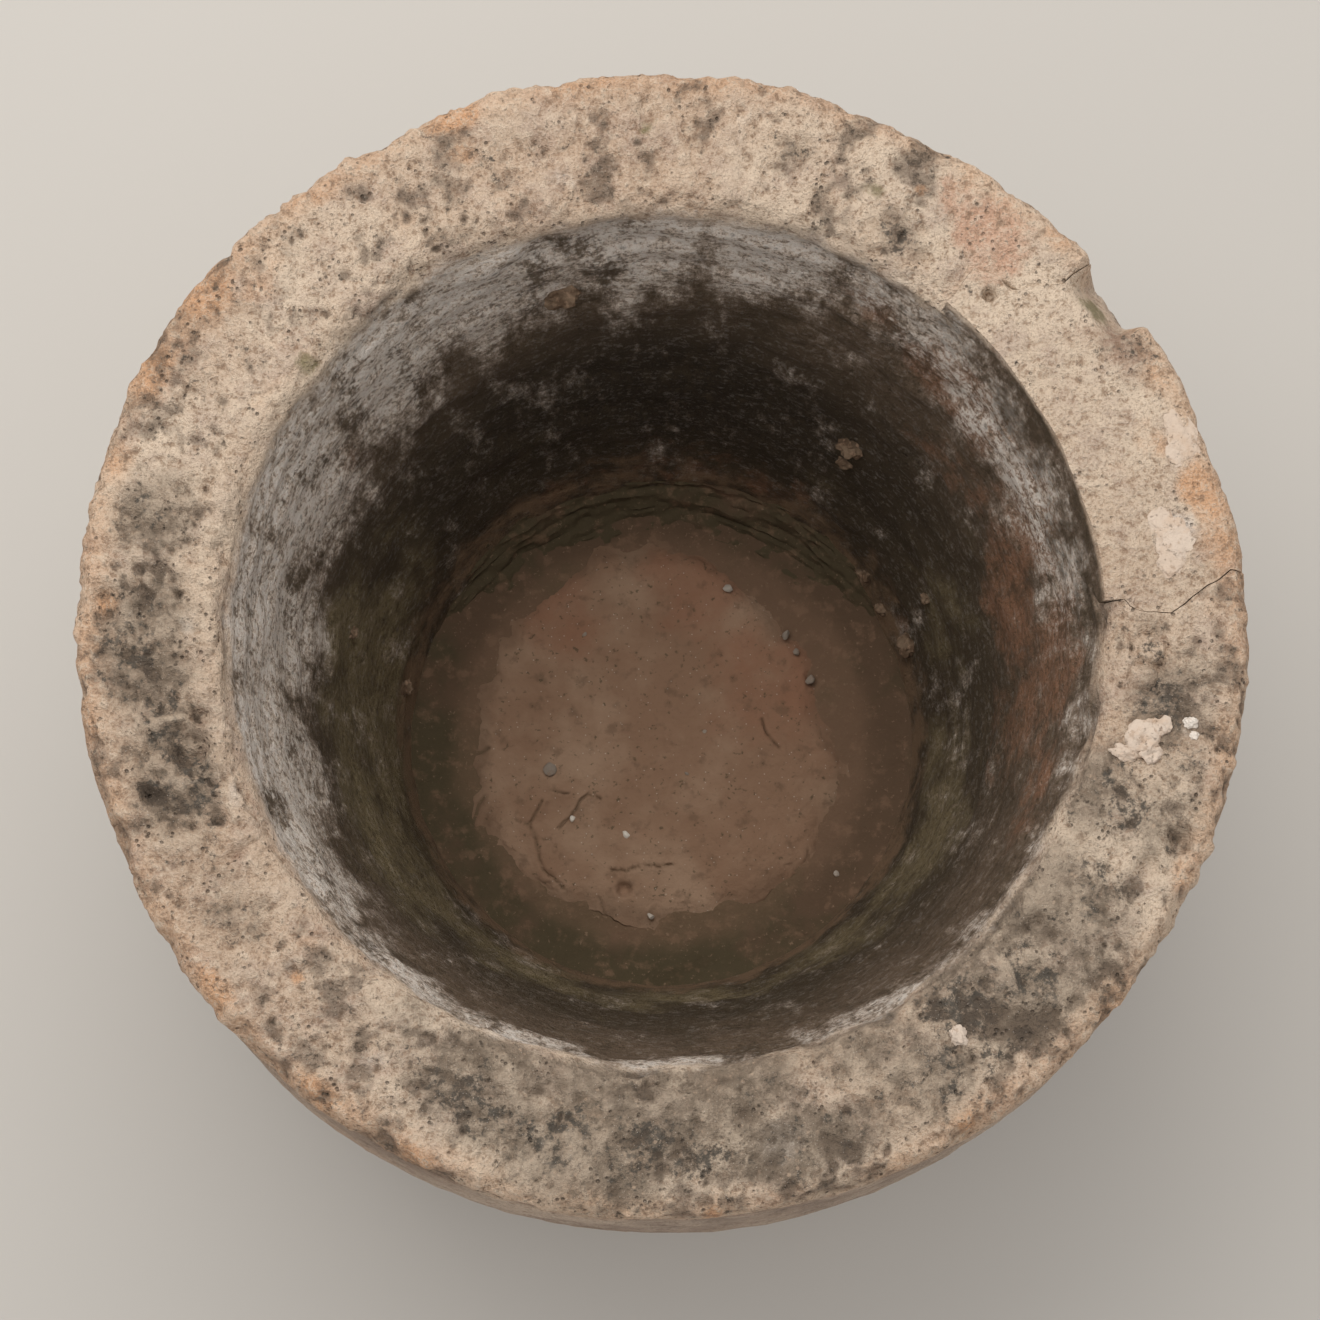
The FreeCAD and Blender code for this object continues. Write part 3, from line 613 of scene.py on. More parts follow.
def shape_fill(bm):
    """Gives the fill its flat inner faces, its trowelled top and the rim's outer edge."""
    hollow = bm.verts.layers.float.new("hollow")
    inner, sound = FILL_GRIP
    for vert, normal in with_normals(bm):
        place = vert.co.copy()
        angle, reach = polar(place)
        level = place.z
        top = ease(TOP_START, TOP_LEVEL, level)
        if reach < sound:
            face = min(wall_reach(level), room_reach(angle))
            kept = face + (reach - inner) * (sound - face) / (sound - inner)
            place = on_ring(angle, kept, level)
        height = 0.9 * noise.fractal(place * 20, 1.0, 2.0, 3) + 0.5 * noise.fractal(place * 75, 0.8, 2.1, 3)
        height += 0.25 * noise.noise(place * 240) - 1.2 * pitted(place, 150, 0.18)
        brown = ease(24, 8, math.hypot(math.radians(turn(angle, 30)) * 260, reach / MM - 262))
        height -= 2.2 * brown * (0.6 + noise.noise(place * 45))
        flat = ease(0.214, 0.222, reach) if top < 1 else 1.0
        vert[hollow] = 0.5 - height / HOLLOW_RANGE
        place += normal * (height * MM * (0.25 + 0.75 * flat))
        edge = ease(0.268, 0.280, reach) * ease(0.378, 0.392, level)
        chipped = 1.8 * MM * edge * noise.fractal(place * 95, 0.8, 2.0, 3)
        place += outwards(place) * (rim_swell(angle, reach, level) + min(chipped, 0.3 * MM))
        place.z -= bite_drop(angle, reach, level)
        if top > 0:
            place.z -= top * dent_drop(angle, reach)
        within_box(place)
        vert.co = place


def placed(bm, name):
    """Turns a mesh in the making into an object of the scene."""
    mesh = bpy.data.meshes.new(name)
    bm.to_mesh(mesh)
    bm.free()
    item = bpy.data.objects.new(name, mesh)
    bpy.context.scene.collection.objects.link(item)
    return item


def break_tool(name, grown):
    """The room of the break as an object to cut with, grown outwards by a distance."""
    bm = bmesh.new()
    high, middle, low = BREAK_LEVELS
    corners = [bm.verts.new((x * MM, y * MM, high)) for x, y in BREAK_OUTLINE]
    face = bm.faces.new(corners)
    for level in (middle, low):
        made = bmesh.ops.extrude_face_region(bm, geom=[face])["geom"]
        if level == low:
            bmesh.ops.delete(bm, geom=[face], context="FACES_ONLY")
        face = next(item for item in made if isinstance(item, bmesh.types.BMFace))
        lowered = [item for item in made if isinstance(item, bmesh.types.BMVert)]
        bmesh.ops.translate(bm, verts=lowered, vec=(0, 0, level - lowered[0].co.z))
    turned_back = Matrix.Rotation(-math.radians(BREAK_FACING), 4, "Z")
    centred = Matrix.Translation((-BREAK_MIDDLE[0], -BREAK_MIDDLE[1], 0))
    bmesh.ops.scale(bm, vec=(1, BREAK_TAPER, 1), space=turned_back @ centred, verts=face.verts[:])
    bmesh.ops.subdivide_edges(bm, edges=bm.edges[:], cuts=4, use_grid_fill=True)
    bmesh.ops.triangulate(bm, faces=bm.faces[:])
    bmesh.ops.recalc_face_normals(bm, faces=bm.faces)
    for vert, normal in with_normals(bm):
        rough = 1.4 * MM * noise.fractal(vert.co * 70, 0.9, 2.0, 3) if vert.co.z < 0.41 else 0.0
        vert.co += normal * (rough + grown)
    return placed(bm, name)


def carve(piece, tool, operation):
    """Cuts a piece with a tool, or keeps what is inside the tool, and clears the tool away."""
    modifier = piece.modifiers.new("carve", "BOOLEAN")
    modifier.operation = operation
    modifier.solver = "MANIFOLD"
    modifier.object = tool
    solid = piece.evaluated_get(bpy.context.evaluated_depsgraph_get())
    shaped = bpy.data.meshes.new_from_object(solid)
    piece.modifiers.clear()
    plain = piece.data
    if len(shaped.polygons) in (0, len(plain.polygons)):
        raise RuntimeError(f"{piece.name} was not cut")
    piece.data = shaped
    shaped.name = piece.name
    bpy.data.meshes.remove(plain)
    bpy.data.objects.remove(tool)


def make_piece(bm, name, node):
    """Turns a mesh in the making into a piece that stands for a CAD node."""
    piece = placed(bm, name)
    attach(piece, BODY)
    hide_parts(node)
    return piece


def dress(piece, material, crease=48):
    """Gives a piece its material and smooth shading, with creases sharper than an angle in degrees."""
    mesh = piece.data
    mesh.materials.clear()
    mesh.materials.append(material)
    bm = bmesh.new()
    bm.from_mesh(mesh)
    for face in bm.faces:
        face.smooth = True
        face.material_index = 0
    for edge in bm.edges:
        edge.smooth = edge.calc_face_angle(0) < math.radians(crease)
    bm.to_mesh(mesh)
    bm.free()


def ring_places(mesh):
    """The angle in degrees, the reach and the level of each of a mesh's points, as arrays."""
    flat = np.empty(len(mesh.vertices) * 3, dtype=np.float32)
    mesh.vertices.foreach_get("co", flat)
    x, y, level = flat.reshape(-1, 3).astype(float).T
    return np.degrees(np.arctan2(y, x)) % 360, np.hypot(x, y), level


def store(mesh, name, values):
    """Keeps one number for each point under a name that a material can read."""
    attribute = mesh.attributes.new(name, "FLOAT", "POINT")
    attribute.data.foreach_set("value", np.clip(values, 0, 1).astype(np.float32))


def patches(rows, angle, across, round_reach=None):
    """How strongly listed patches cover each point; across is a reach or a level, in millimetres."""
    cover = np.zeros(len(angle))
    for middle, out, half_across, half_round, strength in rows:
        reach = out if round_reach is None else round_reach
        along = np.radians(turn(angle, middle)) * reach / half_round
        distance = np.hypot(along, (across - out) / half_across)
        cover = np.maximum(cover, strength * smooth(1.25, 0.25, distance))
    return cover


def paint_stone(mesh, mouth=(398, 360)):
    """Stores where stains, growth and painted shade are; mouth is the levels between which the rim turns into
    wall.
    """
    angle, reach, level = ring_places(mesh)
    reach = reach / MM
    level = level / MM
    on_top = smooth(345, 384, level) * smooth(206, 214, reach)
    for name, rows in STAINS.items():
        store(mesh, name, patches(rows, angle, reach) * on_top)
    store(mesh, "brink", smooth(258, 277, reach) * on_top)
    in_hollow = (reach < 221) & (level > 58)
    store(mesh, "inside", np.where(in_hollow, smooth(*mouth, level), 0.0))
    store(mesh, "depth", np.where(in_hollow, smooth(396, 120, level), 0.0))
    for name, rows in WALL_STAINS.items():
        store(mesh, name, np.where(in_hollow, patches(rows, angle, level, WALL_GIRTH), 0.0))
    store(mesh, "outside", smooth(384, 360, level) * np.where(in_hollow, 0.0, 1.0))


class Finish:
    """A material in the making: each call adds a node, and numbers or colours go straight into sockets."""

    def __init__(self, name):
        self.material = bpy.data.materials.new(name)
        self.material.use_nodes = True
        self.tree = self.material.node_tree
        self.shader = self.tree.nodes["Principled BSDF"]
        self.place = self.add("ShaderNodeTexCoord").outputs["Object"]

    def add(self, kind, **settings):
        node = self.tree.nodes.new(kind)
        for name, value in settings.items():
            setattr(node, name, value)
        return node

    def feed(self, socket, value):
        if isinstance(value, bpy.types.NodeSocket):
            self.tree.links.new(value, socket)
        elif socket.type == "RGBA":
            socket.default_value = (*value, 1.0)
        else:
            socket.default_value = value

    def stretched(self, x, y, z):
        node = self.add("ShaderNodeMapping")
        self.feed(node.inputs["Vector"], self.place)
        node.inputs["Scale"].default_value = (x, y, z)
        return node.outputs["Vector"]

    def noise(self, scale, detail=3.0, rough=0.55, where=None, warp=0.0):
        node = self.add("ShaderNodeTexNoise")
        self.feed(node.inputs["Vector"], where or self.place)
        for name, value in (("Scale", scale), ("Detail", detail), ("Roughness", rough), ("Distortion", warp)):
            node.inputs[name].default_value = value
        return node.outputs[0]

    def cells(self, scale, where=None):
        node = self.add("ShaderNodeTexVoronoi")
        self.feed(node.inputs["Vector"], where or self.place)
        node.inputs["Scale"].default_value = scale
        return node.outputs["Distance"]

    def math(self, operation, first, second=0.0):
        node = self.add("ShaderNodeMath", operation=operation)
        self.feed(node.inputs[0], first)
        self.feed(node.inputs[1], second)
        return node.outputs[0]

    def plus(self, first, second):
        return self.math("ADD", first, second)

    def times(self, first, second):
        return self.math("MULTIPLY", first, second)

    def total(self, *parts):
        """The sum of values, each times its weight."""
        result, *others = (self.times(value, weight) for value, weight in parts)
        for other in others:
            result = self.plus(result, other)
        return result

    def span(self, value, low, high, start=0.0, end=1.0):
        node = self.add("ShaderNodeMapRange", interpolation_type="SMOOTHSTEP")
        given = {"Value": value, "From Min": low, "From Max": high, "To Min": start, "To Max": end}
        for name, setting in given.items():
            self.feed(node.inputs[name], setting)
        return node.outputs["Result"]

    def mask(self, name):
        return self.add("ShaderNodeAttribute", attribute_name=name).outputs["Fac"]

    def mix(self, share, base, over):
        node = self.add("ShaderNodeMix", data_type="RGBA")
        self.feed(node.inputs[0], share)
        self.feed(node.inputs[6], base)
        self.feed(node.inputs[7], over)
        return node.outputs[2]

    def layered(self, colour, *layers):
        """Lays colours over one another: each layer is a colour, where it lies and how strongly."""
        for over, share, strength in layers:
            colour = self.mix(self.times(share, strength), colour, over)
        return colour

    def grown(self, name, scale, reach=0.34, crisp=0.16, detail=8.0, rough=0.68, start=0.70):
        """A stain that a noise breaks up: it covers most of the patch's heart and frays out at its edge."""
        lifted = self.plus(self.noise(scale, detail, rough), self.times(self.mask(name), reach))
        return self.span(lifted, start, start + crisp)

    def dots(self, scale, edge, stretch, stretch_edge, where=None, rough=0.7):
        """Dots, one to a cell, where a coarser noise is high; the edges are where both fade in."""
        kept = self.span(self.noise(stretch, 4, rough), *stretch_edge)
        return self.times(self.span(self.cells(scale, where), *edge), kept)

    def done(self, colour, height, roughness=0.9, depth=1.0 * MM):
        bump = self.add("ShaderNodeBump")
        bump.inputs["Distance"].default_value = depth
        self.feed(bump.inputs["Height"], height)
        self.feed(self.shader.inputs["Base Color"], colour)
        self.feed(self.shader.inputs["Roughness"], roughness)
        self.shader.inputs["Specular IOR Level"].default_value = 0.25
        self.feed(self.shader.inputs["Normal"], bump.outputs["Normal"])
        return self.material


def stone_finish(name, settings, main, pale, pores_and_shade):
    """Weathered sandy stone or mortar, more or less pored, with growth, stains, painted highlight on ridges
    and painted shade in pores and hollows, and a streaked wall with painted highlights and shade on its
    streaks and painted shade on its far side.
    """
    make = Finish(name)
    middle = make.noise(46, 6, 0.65)
    fine = make.noise(210, 5, 0.68)
    grain = make.noise(700, 2, 0.6)
    sunk = make.math("SUBTRACT", make.mask("hollow"), 0.5)
    pores = make.dots(300, (0.34, 0.10), 90, (0.50, 0.66), rough=0.65)
    iron = make.times(make.span(make.mask("rust"), 0.7, 1.0), make.span(make.noise(75, 5, 0.7), 0.50, 0.66))
    bare = make.layered(
        make.mix(make.span(make.noise(7, 3), 0.38, 0.62), pale, main),
        (settings.rose, make.span(middle, 0.45, 0.68), 0.6),
        (settings.salmon, make.grown("fresh", 26, 0.42, 0.20), 1.0),
        (settings.bruise, make.grown("bruise", 30, 0.46, 0.30), 0.8),
        (settings.peach, make.grown("brink", 18, 0.36, 0.40, 7.0, 0.66, 0.56), 0.42),
        (settings.peach, make.grown("rust", 24, 0.42, 0.34, 6.0, 0.62, 0.58), 0.85),
        (settings.rust, iron, 0.75),
        # The fine and grain noises also make the bump: cream on their highs and grit and pore on their lows
        # are partly the stone's grain, partly painted highlight on the bumps and painted shade between them.
        (settings.cream_and_highlight, make.span(fine, 0.50, 0.66), 0.75),
        (settings.grit_and_shade, make.span(fine, 0.49, 0.36), 0.70),
        (settings.pore_and_shade, make.span(fine, 0.42, 0.30), 0.40 * pores_and_shade),
        (settings.cream_and_highlight, make.span(grain, 0.52, 0.66), 0.35),
        (settings.grit_and_shade, make.span(grain, 0.48, 0.34), 0.45),
        (settings.lime, make.grown("lime", 44, 0.38, 0.30, 9.0, 0.74, 0.66), 0.7),
        (settings.moss, make.grown("moss", 60, 0.36, 0.24), 0.75),
    )
    rim = make.layered(
        overgrown(make, settings, bare, sunk),
        # Painted highlight on the ridges and painted shade in the hollows of the hewn relief, read from its
        # stored hollowness; the pore dots, which the bump also sinks, are partly dirt and partly painted
        # shade.
        (settings.cream_and_highlight, make.span(sunk, -0.04, -0.32), 0.28),
        (settings.pore_and_shade, pores, 0.65 * pores_and_shade),
        (settings.pore_and_shade, make.span(sunk, 0.03, 0.36), 0.65 * pores_and_shade),
        (settings.pore_and_shade, make.span(make.noise(420, 3, 0.6), 0.60, 0.70), 0.50 * pores_and_shade),
        (settings.lime, make.span(make.cells(520), 0.16, 0.06), 0.35),
        (settings.rose, make.mask("outside"), 0.35),
    )
    wall, streak = wall_colour(make, settings)
    within = make.span(make.total((make.mask("inside"), 1.0), (make.noise(70, 6, 0.66), 0.9)), 0.60, 1.20)
    picked = make.noise(80, 3, 0.6, make.stretched(1.0, 1.0, 0.35), 0.6)
    height = make.total(
        (fine, 1.5), (grain, 0.6), (middle, 1.6), (pores, -1.1), (within, make.times(streak, 3.0)),
        (make.mask("outside"), make.times(picked, 3.4)),
    )
    return make.done(make.mix(within, rim, wall), height, depth=2.6 * MM)


def overgrown(make, settings, bare, sunk):
    """Stone under a grey veil with dark hearts and bare crystals; sunk is how deep a place lies."""
    crystals = make.total((make.noise(230, 6, 0.74), 1.0), (sunk, 0.22))
    veil = make.span(make.total((make.noise(24, 10, 0.74), 1.3), (make.mask("veil"), 0.62)), 0.84, 1.36)
    heart = make.total((make.noise(64, 10, 0.80), 1.9), (make.mask("lichen"), 0.36),
                       (make.mask("veil"), 0.28))
    heart = make.span(heart, 1.18, 1.62)
    return make.layered(
        bare,
        (settings.lichen_pale, veil, 0.74),
        (settings.lichen_pale, make.span(make.total((crystals, 1.0), (veil, 0.20)), 0.56, 0.74), 0.66),
        (settings.lichen, make.span(make.total((crystals, 1.0), (heart, 0.20)), 0.60, 0.74), 0.80),
        (settings.sand, make.dots(230, (0.30, 0.14), 150, (0.46, 0.58)), make.times(veil, 0.55)),
    )


def wall_colour(make, settings):
    """Colour of the hollow's wall, and the streaks that run round it."""
    drawn = make.stretched(0.55, 0.55, 1.0)
    coarse = make.noise(270, 7, 0.76, make.stretched(0.50, 0.50, 1.0))
    streak = make.total((coarse, 0.6), (make.noise(480, 4, 0.72), 0.4))
    smear = make.noise(60, 5, 0.62, make.stretched(0.30, 0.30, 1.0), 0.5)
    depth = make.total((make.mask("depth"), 1.0), (smear, 0.5))
    earth = make.grown("earth", 36, 0.42, 0.30, 8.0, 0.68, 0.66)
    clump = make.noise(42, 9, 0.76, make.stretched(1.0, 1.0, 0.45))
    band = make.span(make.total((make.mask("bloom"), 0.70), (clump, 2.4)), 1.24, 1.96)
    flecks_and_highlights = make.span(make.total((streak, 1.0), (band, 0.06)), 0.525, 0.585)
    holes = make.dots(250, (0.36, 0.16), 110, (0.48, 0.60), drawn)
    grains = make.dots(300, (0.36, 0.20), 130, (0.44, 0.53), drawn)
    dark_band = make.total((make.noise(60, 9, 0.76), 1.8), (make.mask("dark_band"), 0.5))
    colour = make.layered(
        make.mix(make.span(depth, 0.36, 1.0), settings.wall, settings.wall_deep_and_shade),
        (settings.wall_earth, earth, 0.85),
        (settings.algae, make.grown("algae", 20, 0.40, 0.30, 5.0, 0.6, 0.60), 0.8),
        # Painted shade on the far stretch of the wall.
        (settings.wall_far_shade, make.mask("damp_and_shade"), 0.85),
        (settings.wall_grey, band, 0.92),
        (settings.wall_earth, earth, 0.5),
        (settings.wall_deep_and_shade, make.span(clump, 0.48, 0.38), 0.55),
        # The streaks also make the wall's bump: painted shade in their grooves, and pale flecks on their
        # crests that are partly bloom and partly painted highlight.
        (settings.wall_deep_and_shade, make.span(streak, 0.48, 0.42), 0.62),
        (settings.wall_bloom_and_highlight, flecks_and_highlights, make.span(band, 0.0, 1.0, 0.10, 0.95)),
        (settings.wall_deep_and_shade, holes, 0.5),
        (settings.wall_bloom_and_highlight, grains, make.span(band, 0.0, 0.7, 0.07, 0.85)),
        # The darker band on the fill's inner face and the wall near it.
        (settings.wall_deep_and_shade, make.span(dark_band, 1.06, 1.50), 0.80),
        (settings.wall_foot, make.grown("foot", 50, 0.44, 0.30), 1.0),
    )
    return colour, streak


class PLANTER_OT_stone(Operator):
    """Hews the stone and breaks its rim where it was mended"""

    bl_idname = "planter.stone"
    bl_label = "Stone"

    def execute(self, context):
        settings = context.scene.planter_stone
        bm = bmesh.new()
        outline_wire(bm, STONE_SECTION, STONE_ROWS)
        arrises = [vert for vert in bm.verts if lies_on_arris(vert.co)]
        round_corners(bm, arrises, ARRIS_WEAR)
        spun(bm, STONE_STEPS)
        rings = [edge for edge in bm.edges if lies_on_fine_ring(edge)]
        bmesh.ops.subdivide_edges(bm, edges=rings, cuts=1)
        bmesh.ops.triangulate(bm, faces=[face for face in bm.faces if len(face.verts) == 5])
        hew_stone(bm, settings)
        piece = make_piece(bm, "hewn_stone", "stone_body")
        carve(piece, break_tool("break_room", settings.crack_gap), "DIFFERENCE")
        paint_stone(piece.data)
        dress(piece, stone_finish("hewn stone", settings, settings.sand, settings.cream_and_highlight, 1.0))
        return {"FINISHED"}


def lies_on_arris(place):
    """True for the places of the half section near the rim and the edge of the base."""
    return place.z > 0.382 or place.z < 0.03 and place.x > 0.237


def lies_on_fine_ring(edge):
    """True for the edges that run round the rim where its mesh is finest."""
    first, second = (vert.co for vert in edge.verts)
    level = abs(first.z - second.z) < 1e-6
    same_reach = abs(math.hypot(first.x, first.y) - math.hypot(second.x, second.y)) < 1e-6
    return level and same_reach and first.z > FINE_LEVEL


class PLANTER_OT_fill(Operator):
    """Casts the mortar that fills the break in the rim"""

    bl_idname = "planter.fill"
    bl_label = "Rim fill"

    def execute(self, context):
        settings = context.scene.planter_stone
        bm = bmesh.new()
        outline_wire(bm, FILL_SECTION, FILL_ROWS)
        bmesh.ops.remove_doubles(bm, verts=bm.verts, dist=1e-6)
        edge_of_rim = [vert for vert in bm.verts if vert.co.z > 0.388 and vert.co.x > 0.27]
        round_corners(bm, edge_of_rim, 4)
        spun(bm, FILL_STEPS, *FILL_ARC)
        shape_fill(bm)
        piece = make_piece(bm, "rim_fill", "rim_repair")
        carve(piece, break_tool("break_room", 0.0), "INTERSECT")
        paint_stone(piece.data, (397, 384))
        dress(piece, stone_finish("rim mortar", settings, settings.mortar, settings.cream_and_highlight, 0.4))
        return {"FINISHED"}


def settle(bm, made, sizes, facing, place):
    """Gives a lump of unit size its half sizes, its facing in degrees and its place."""
    bmesh.ops.scale(bm, vec=sizes, verts=made)
    bmesh.ops.rotate(bm, verts=made, matrix=Matrix.Rotation(math.radians(facing), 3, "Z"))
    bmesh.ops.translate(bm, verts=made, vec=place)
    return made


def blob(bm, place, sizes, facing, rough, seed, fineness=4):
    """Adds an uneven lump with half sizes outwards, round the rim and up."""
    made = bmesh.ops.create_icosphere(bm, subdivisions=fineness, radius=1.0)["verts"]
    offset = Vector((seed * 3.7, seed * 1.9, seed * 5.3))
    for vert in made:
        vert.co *= 1 + rough * noise.fractal(vert.co * 1.4 + offset, 0.8, 2.0, 4)
    return settle(bm, made, sizes, facing, place)


def rim_level(reach):
    """The level of the rim's top at a reach in millimetres."""
    out, level = RIM_POINT
    return level - (out - reach) * MM * math.tan(math.radians(RIM_FALL))


class PLANTER_OT_splashes(Operator):
    """Drops the lumps of lime and mortar on the rim"""

    bl_idname = "planter.splashes"
    bl_label = "Lime splashes"

    def execute(self, context):
        settings = context.scene.planter_stone
        bm = bmesh.new()
        white = []
        for seed, (angle, reach, half_out, half_round, height, whiteness) in enumerate(SPLASHES, start=1):
            sizes = (half_out * MM, half_round * MM, height * MM)
            place = on_ring(angle, reach * MM, rim_level(reach) - 0.45 * height * MM)
            white += [whiteness] * len(blob(bm, place, sizes, angle, 0.38, seed))
        for vert in bm.verts:
            within_box(vert.co)
        piece = make_piece(bm, "lime_splashes", "mortar_splashes")
        store(piece.data, "white", np.array(white))
        dress(piece, lime_finish(settings))
        return {"FINISHED"}


def lime_finish(settings):
    """White, dirty lime, and mortar where it is a smear."""
    make = Finish("lime")
    colour = make.layered(
        make.mix(make.mask("white"), settings.mortar, settings.lime),
        (settings.sand, make.span(make.noise(90, 6, 0.68), 0.46, 0.66), 0.6),
        (settings.grit_and_shade, make.span(make.noise(260, 4), 0.56, 0.70), 0.5),
        (settings.pore_and_shade, make.span(make.noise(420, 2), 0.60, 0.70), 0.5),
    )
    return make.done(colour, make.times(make.noise(150, 5, 0.65), 1.8), depth=1.4 * MM)


class PLANTER_OT_soil(Operator):
    """Settles the soil in the foot of the hollow"""

    bl_idname = "planter.soil"
    bl_label = "Settled soil"

    def execute(self, context):
        bm = bmesh.new()
        outline_wire(bm, SOIL_SECTION, SOIL_ROWS)
        spun(bm, SOIL_STEPS)
        for vert in bm.verts:
            if vert.co.z > SOIL_TOP:
                angle, reach = polar(vert.co)
                silt = 1.4 * noise.fractal(vert.co * 22, 1.0, 2.0, 3)
                silt += 0.6 * noise.fractal(vert.co * 90, 0.8, 2.0, 3)
                cove = ease(0.120, 0.140, reach)
                heaped = 1.7 * ease(0.080, 0.100, reach) * (1 - cove)
                rise = (silt + heaped + 4.0 * cove * noise.fractal(vert.co * 30, 0.9, 2.0, 3)) * MM
                vert.co = on_ring(angle, reach + rise * WALL_LEAN * cove, vert.co.z + rise)
        piece = make_piece(bm, "settled_soil", "soil_bed")
        paint_silt(piece.data)
        dress(piece, silt_finish("silt", context.scene.planter_soil))
        return {"FINISHED"}


def paint_silt(mesh):
    """Stores where the algae are, on the left away from the bank, and where dust of the dried mud lies."""
    angle, reach, _ = ring_places(mesh)
    store(mesh, "damp_and_shade", smooth(95, 40, np.abs(turn(angle, 232))))
    store(mesh, "dusty", smooth(0.132, 0.102, reach))


def silt_finish(name, settings):
    """Damp silt with algae and some dust of the dried mud."""
    make = Finish(name)
    grain = make.noise(420, 4, 0.65)
    patch = make.total((make.noise(24, 4, 0.6), 1.0), (make.mask("damp_and_shade"), 0.25))
    dust = make.total((make.mask("dusty"), 0.8), (make.noise(36, 6, 0.66), 0.8))
    colour = make.layered(
        make.mix(make.span(patch, 0.50, 0.72), settings.silt, settings.silt_green),
        (settings.mud, make.span(make.noise(110, 4, 0.6), 0.52, 0.70), 0.4),
        (settings.mud, make.span(dust, 0.52, 1.10), 0.35),
        (settings.mud_pale, make.span(grain, 0.60, 0.72), 0.5),
    )
    return make.done(colour, make.total((grain, 0.8), (make.noise(120, 4), 1.0)))


def mud_edge(angle):
    """The mud's reach from its own middle, in millimetres, at angles in degrees."""
    offsets = np.array(MUD_OUTLINE, dtype=float) - MUD_MIDDLE
    angles = np.degrees(np.arctan2(offsets[:, 1], offsets[:, 0])) % 360
    order = np.argsort(angles)
    return np.interp(angle, angles[order], np.hypot(offsets[:, 0], offsets[:, 1])[order], period=360)


def crack_cover(points):
    """1 in the cracks of the mud and 0 away from them, and how near the lips of a crack are."""
    crack = np.zeros(len(points))
    lip = np.zeros(len(points))
    for half, path in MUD_CRACKS:
        for start, end in zip(np.array(path, dtype=float), np.array(path[1:], dtype=float)):
            run = end - start
            share = np.clip(((points - start) @ run) / (run @ run), 0, 1)
            distance = np.hypot(*(points - start - share[:, None] * run).T)
            crack = np.maximum(crack, smooth(0.8 * half, 0.2 * half, distance))
            lip = np.maximum(lip, smooth(half + 5, half, distance))
    return crack, lip


class PLANTER_OT_mud(Operator):
    """Lays the dried and cracked mud on the soil"""

    bl_idname = "planter.mud"
    bl_label = "Dried mud"

    def execute(self, context):
        noise.seed_set(NOISE_SEED)
        settings = context.scene.planter_soil
        bm = bmesh.new()
        high, low = MUD_LEVELS
        outline_wire(bm, ((0.0, high), (1.0, high), (1.02, low)), (1 / MUD_RINGS, 0.003))
        spun(bm, MUD_STEPS)
        flat = np.array([vert.co[:] for vert in bm.verts])
        angle = np.degrees(np.arctan2(flat[:, 1], flat[:, 0])) % 360
        share = np.hypot(flat[:, 0], flat[:, 1])
        ragged = [1 + 0.035 * noise.fractal(Vector((x, y, 2)) * 6, 0.8, 2.0, 4) for x, y, _ in flat]
        reach = mud_edge(angle) * share * ragged
        points = np.stack([MUD_MIDDLE[0] + reach * np.cos(np.radians(angle)),
                           MUD_MIDDLE[1] + reach * np.sin(np.radians(angle))], axis=1)
        wobble = [noise.noise_vector(Vector((x, y, 0)) * 0.12) * 1.2 for x, y in points]
        crack, lip = crack_cover(points + np.array([shift[:2] for shift in wobble]))
        rise = 0.7 * lip - settings.crack_depth / MM * crack
        for x, y, radius, depth in MUD_DENTS:
            rise -= depth * smooth(1.0, 0.2, np.hypot(points[:, 0] - x, points[:, 1] - y) / radius)
        rise -= 3.4 * smooth(0.84, 1.0, share)
        for vert, (x, y), step in zip(bm.verts, points, rise):
            place = Vector((x, y, 0)) * MM
            if vert.co.z > low + 0.001:
                step += 1.6 * noise.fractal(place * 18, 1.0, 2.0, 3)
                step += 0.7 * noise.fractal(place * 75, 0.8, 2.1, 3)
                step += 0.25 * noise.noise(place * 260)
                place.z = vert.co.z + step * MM
            else:
                place.z = vert.co.z
            vert.co = place
        piece = make_piece(bm, "dried_mud", "soil_crust")
        store(piece.data, "crack", crack)
        store(piece.data, "edge", smooth(0.80, 1.0, share))
        stains = [smooth(faded, full, np.hypot(*(points - (x, y)).T)) for x, y, faded, full in MUD_RED]
        store(piece.data, "red", np.max(stains, axis=0))
        dress(piece, mud_finish("dried mud", settings), 60)
        return {"FINISHED"}


def mud_finish(name, settings):
    """Brown dried mud, red and pale in places, dark in its cracks."""
    make = Finish(name)
    clod = make.noise(95, 5, 0.6)
    frayed = make.total((make.mask("edge"), 1.0), (make.noise(40, 6, 0.66), 0.8))
    colour = make.layered(
        make.mix(make.span(make.noise(17, 4, 0.6), 0.40, 0.64), settings.mud, settings.mud_pale),
        (settings.mud_red, make.grown("red", 22, 0.36, 0.34, 6.0, 0.64, 0.58), 0.7),
        (settings.silt, make.span(clod, 0.54, 0.70), 0.45),
        (settings.silt_green, make.span(make.noise(300, 3, 0.6), 0.62, 0.70), 0.7),
        (settings.chip, make.span(make.cells(260), 0.13, 0.05), 0.35),
        (settings.silt, make.span(frayed, 0.70, 1.40), 0.4),
        (settings.silt_green, make.mask("crack"), 0.4),
    )
    return make.done(colour, make.total((make.noise(520, 4, 0.65), 0.6), (clod, 1.3)))


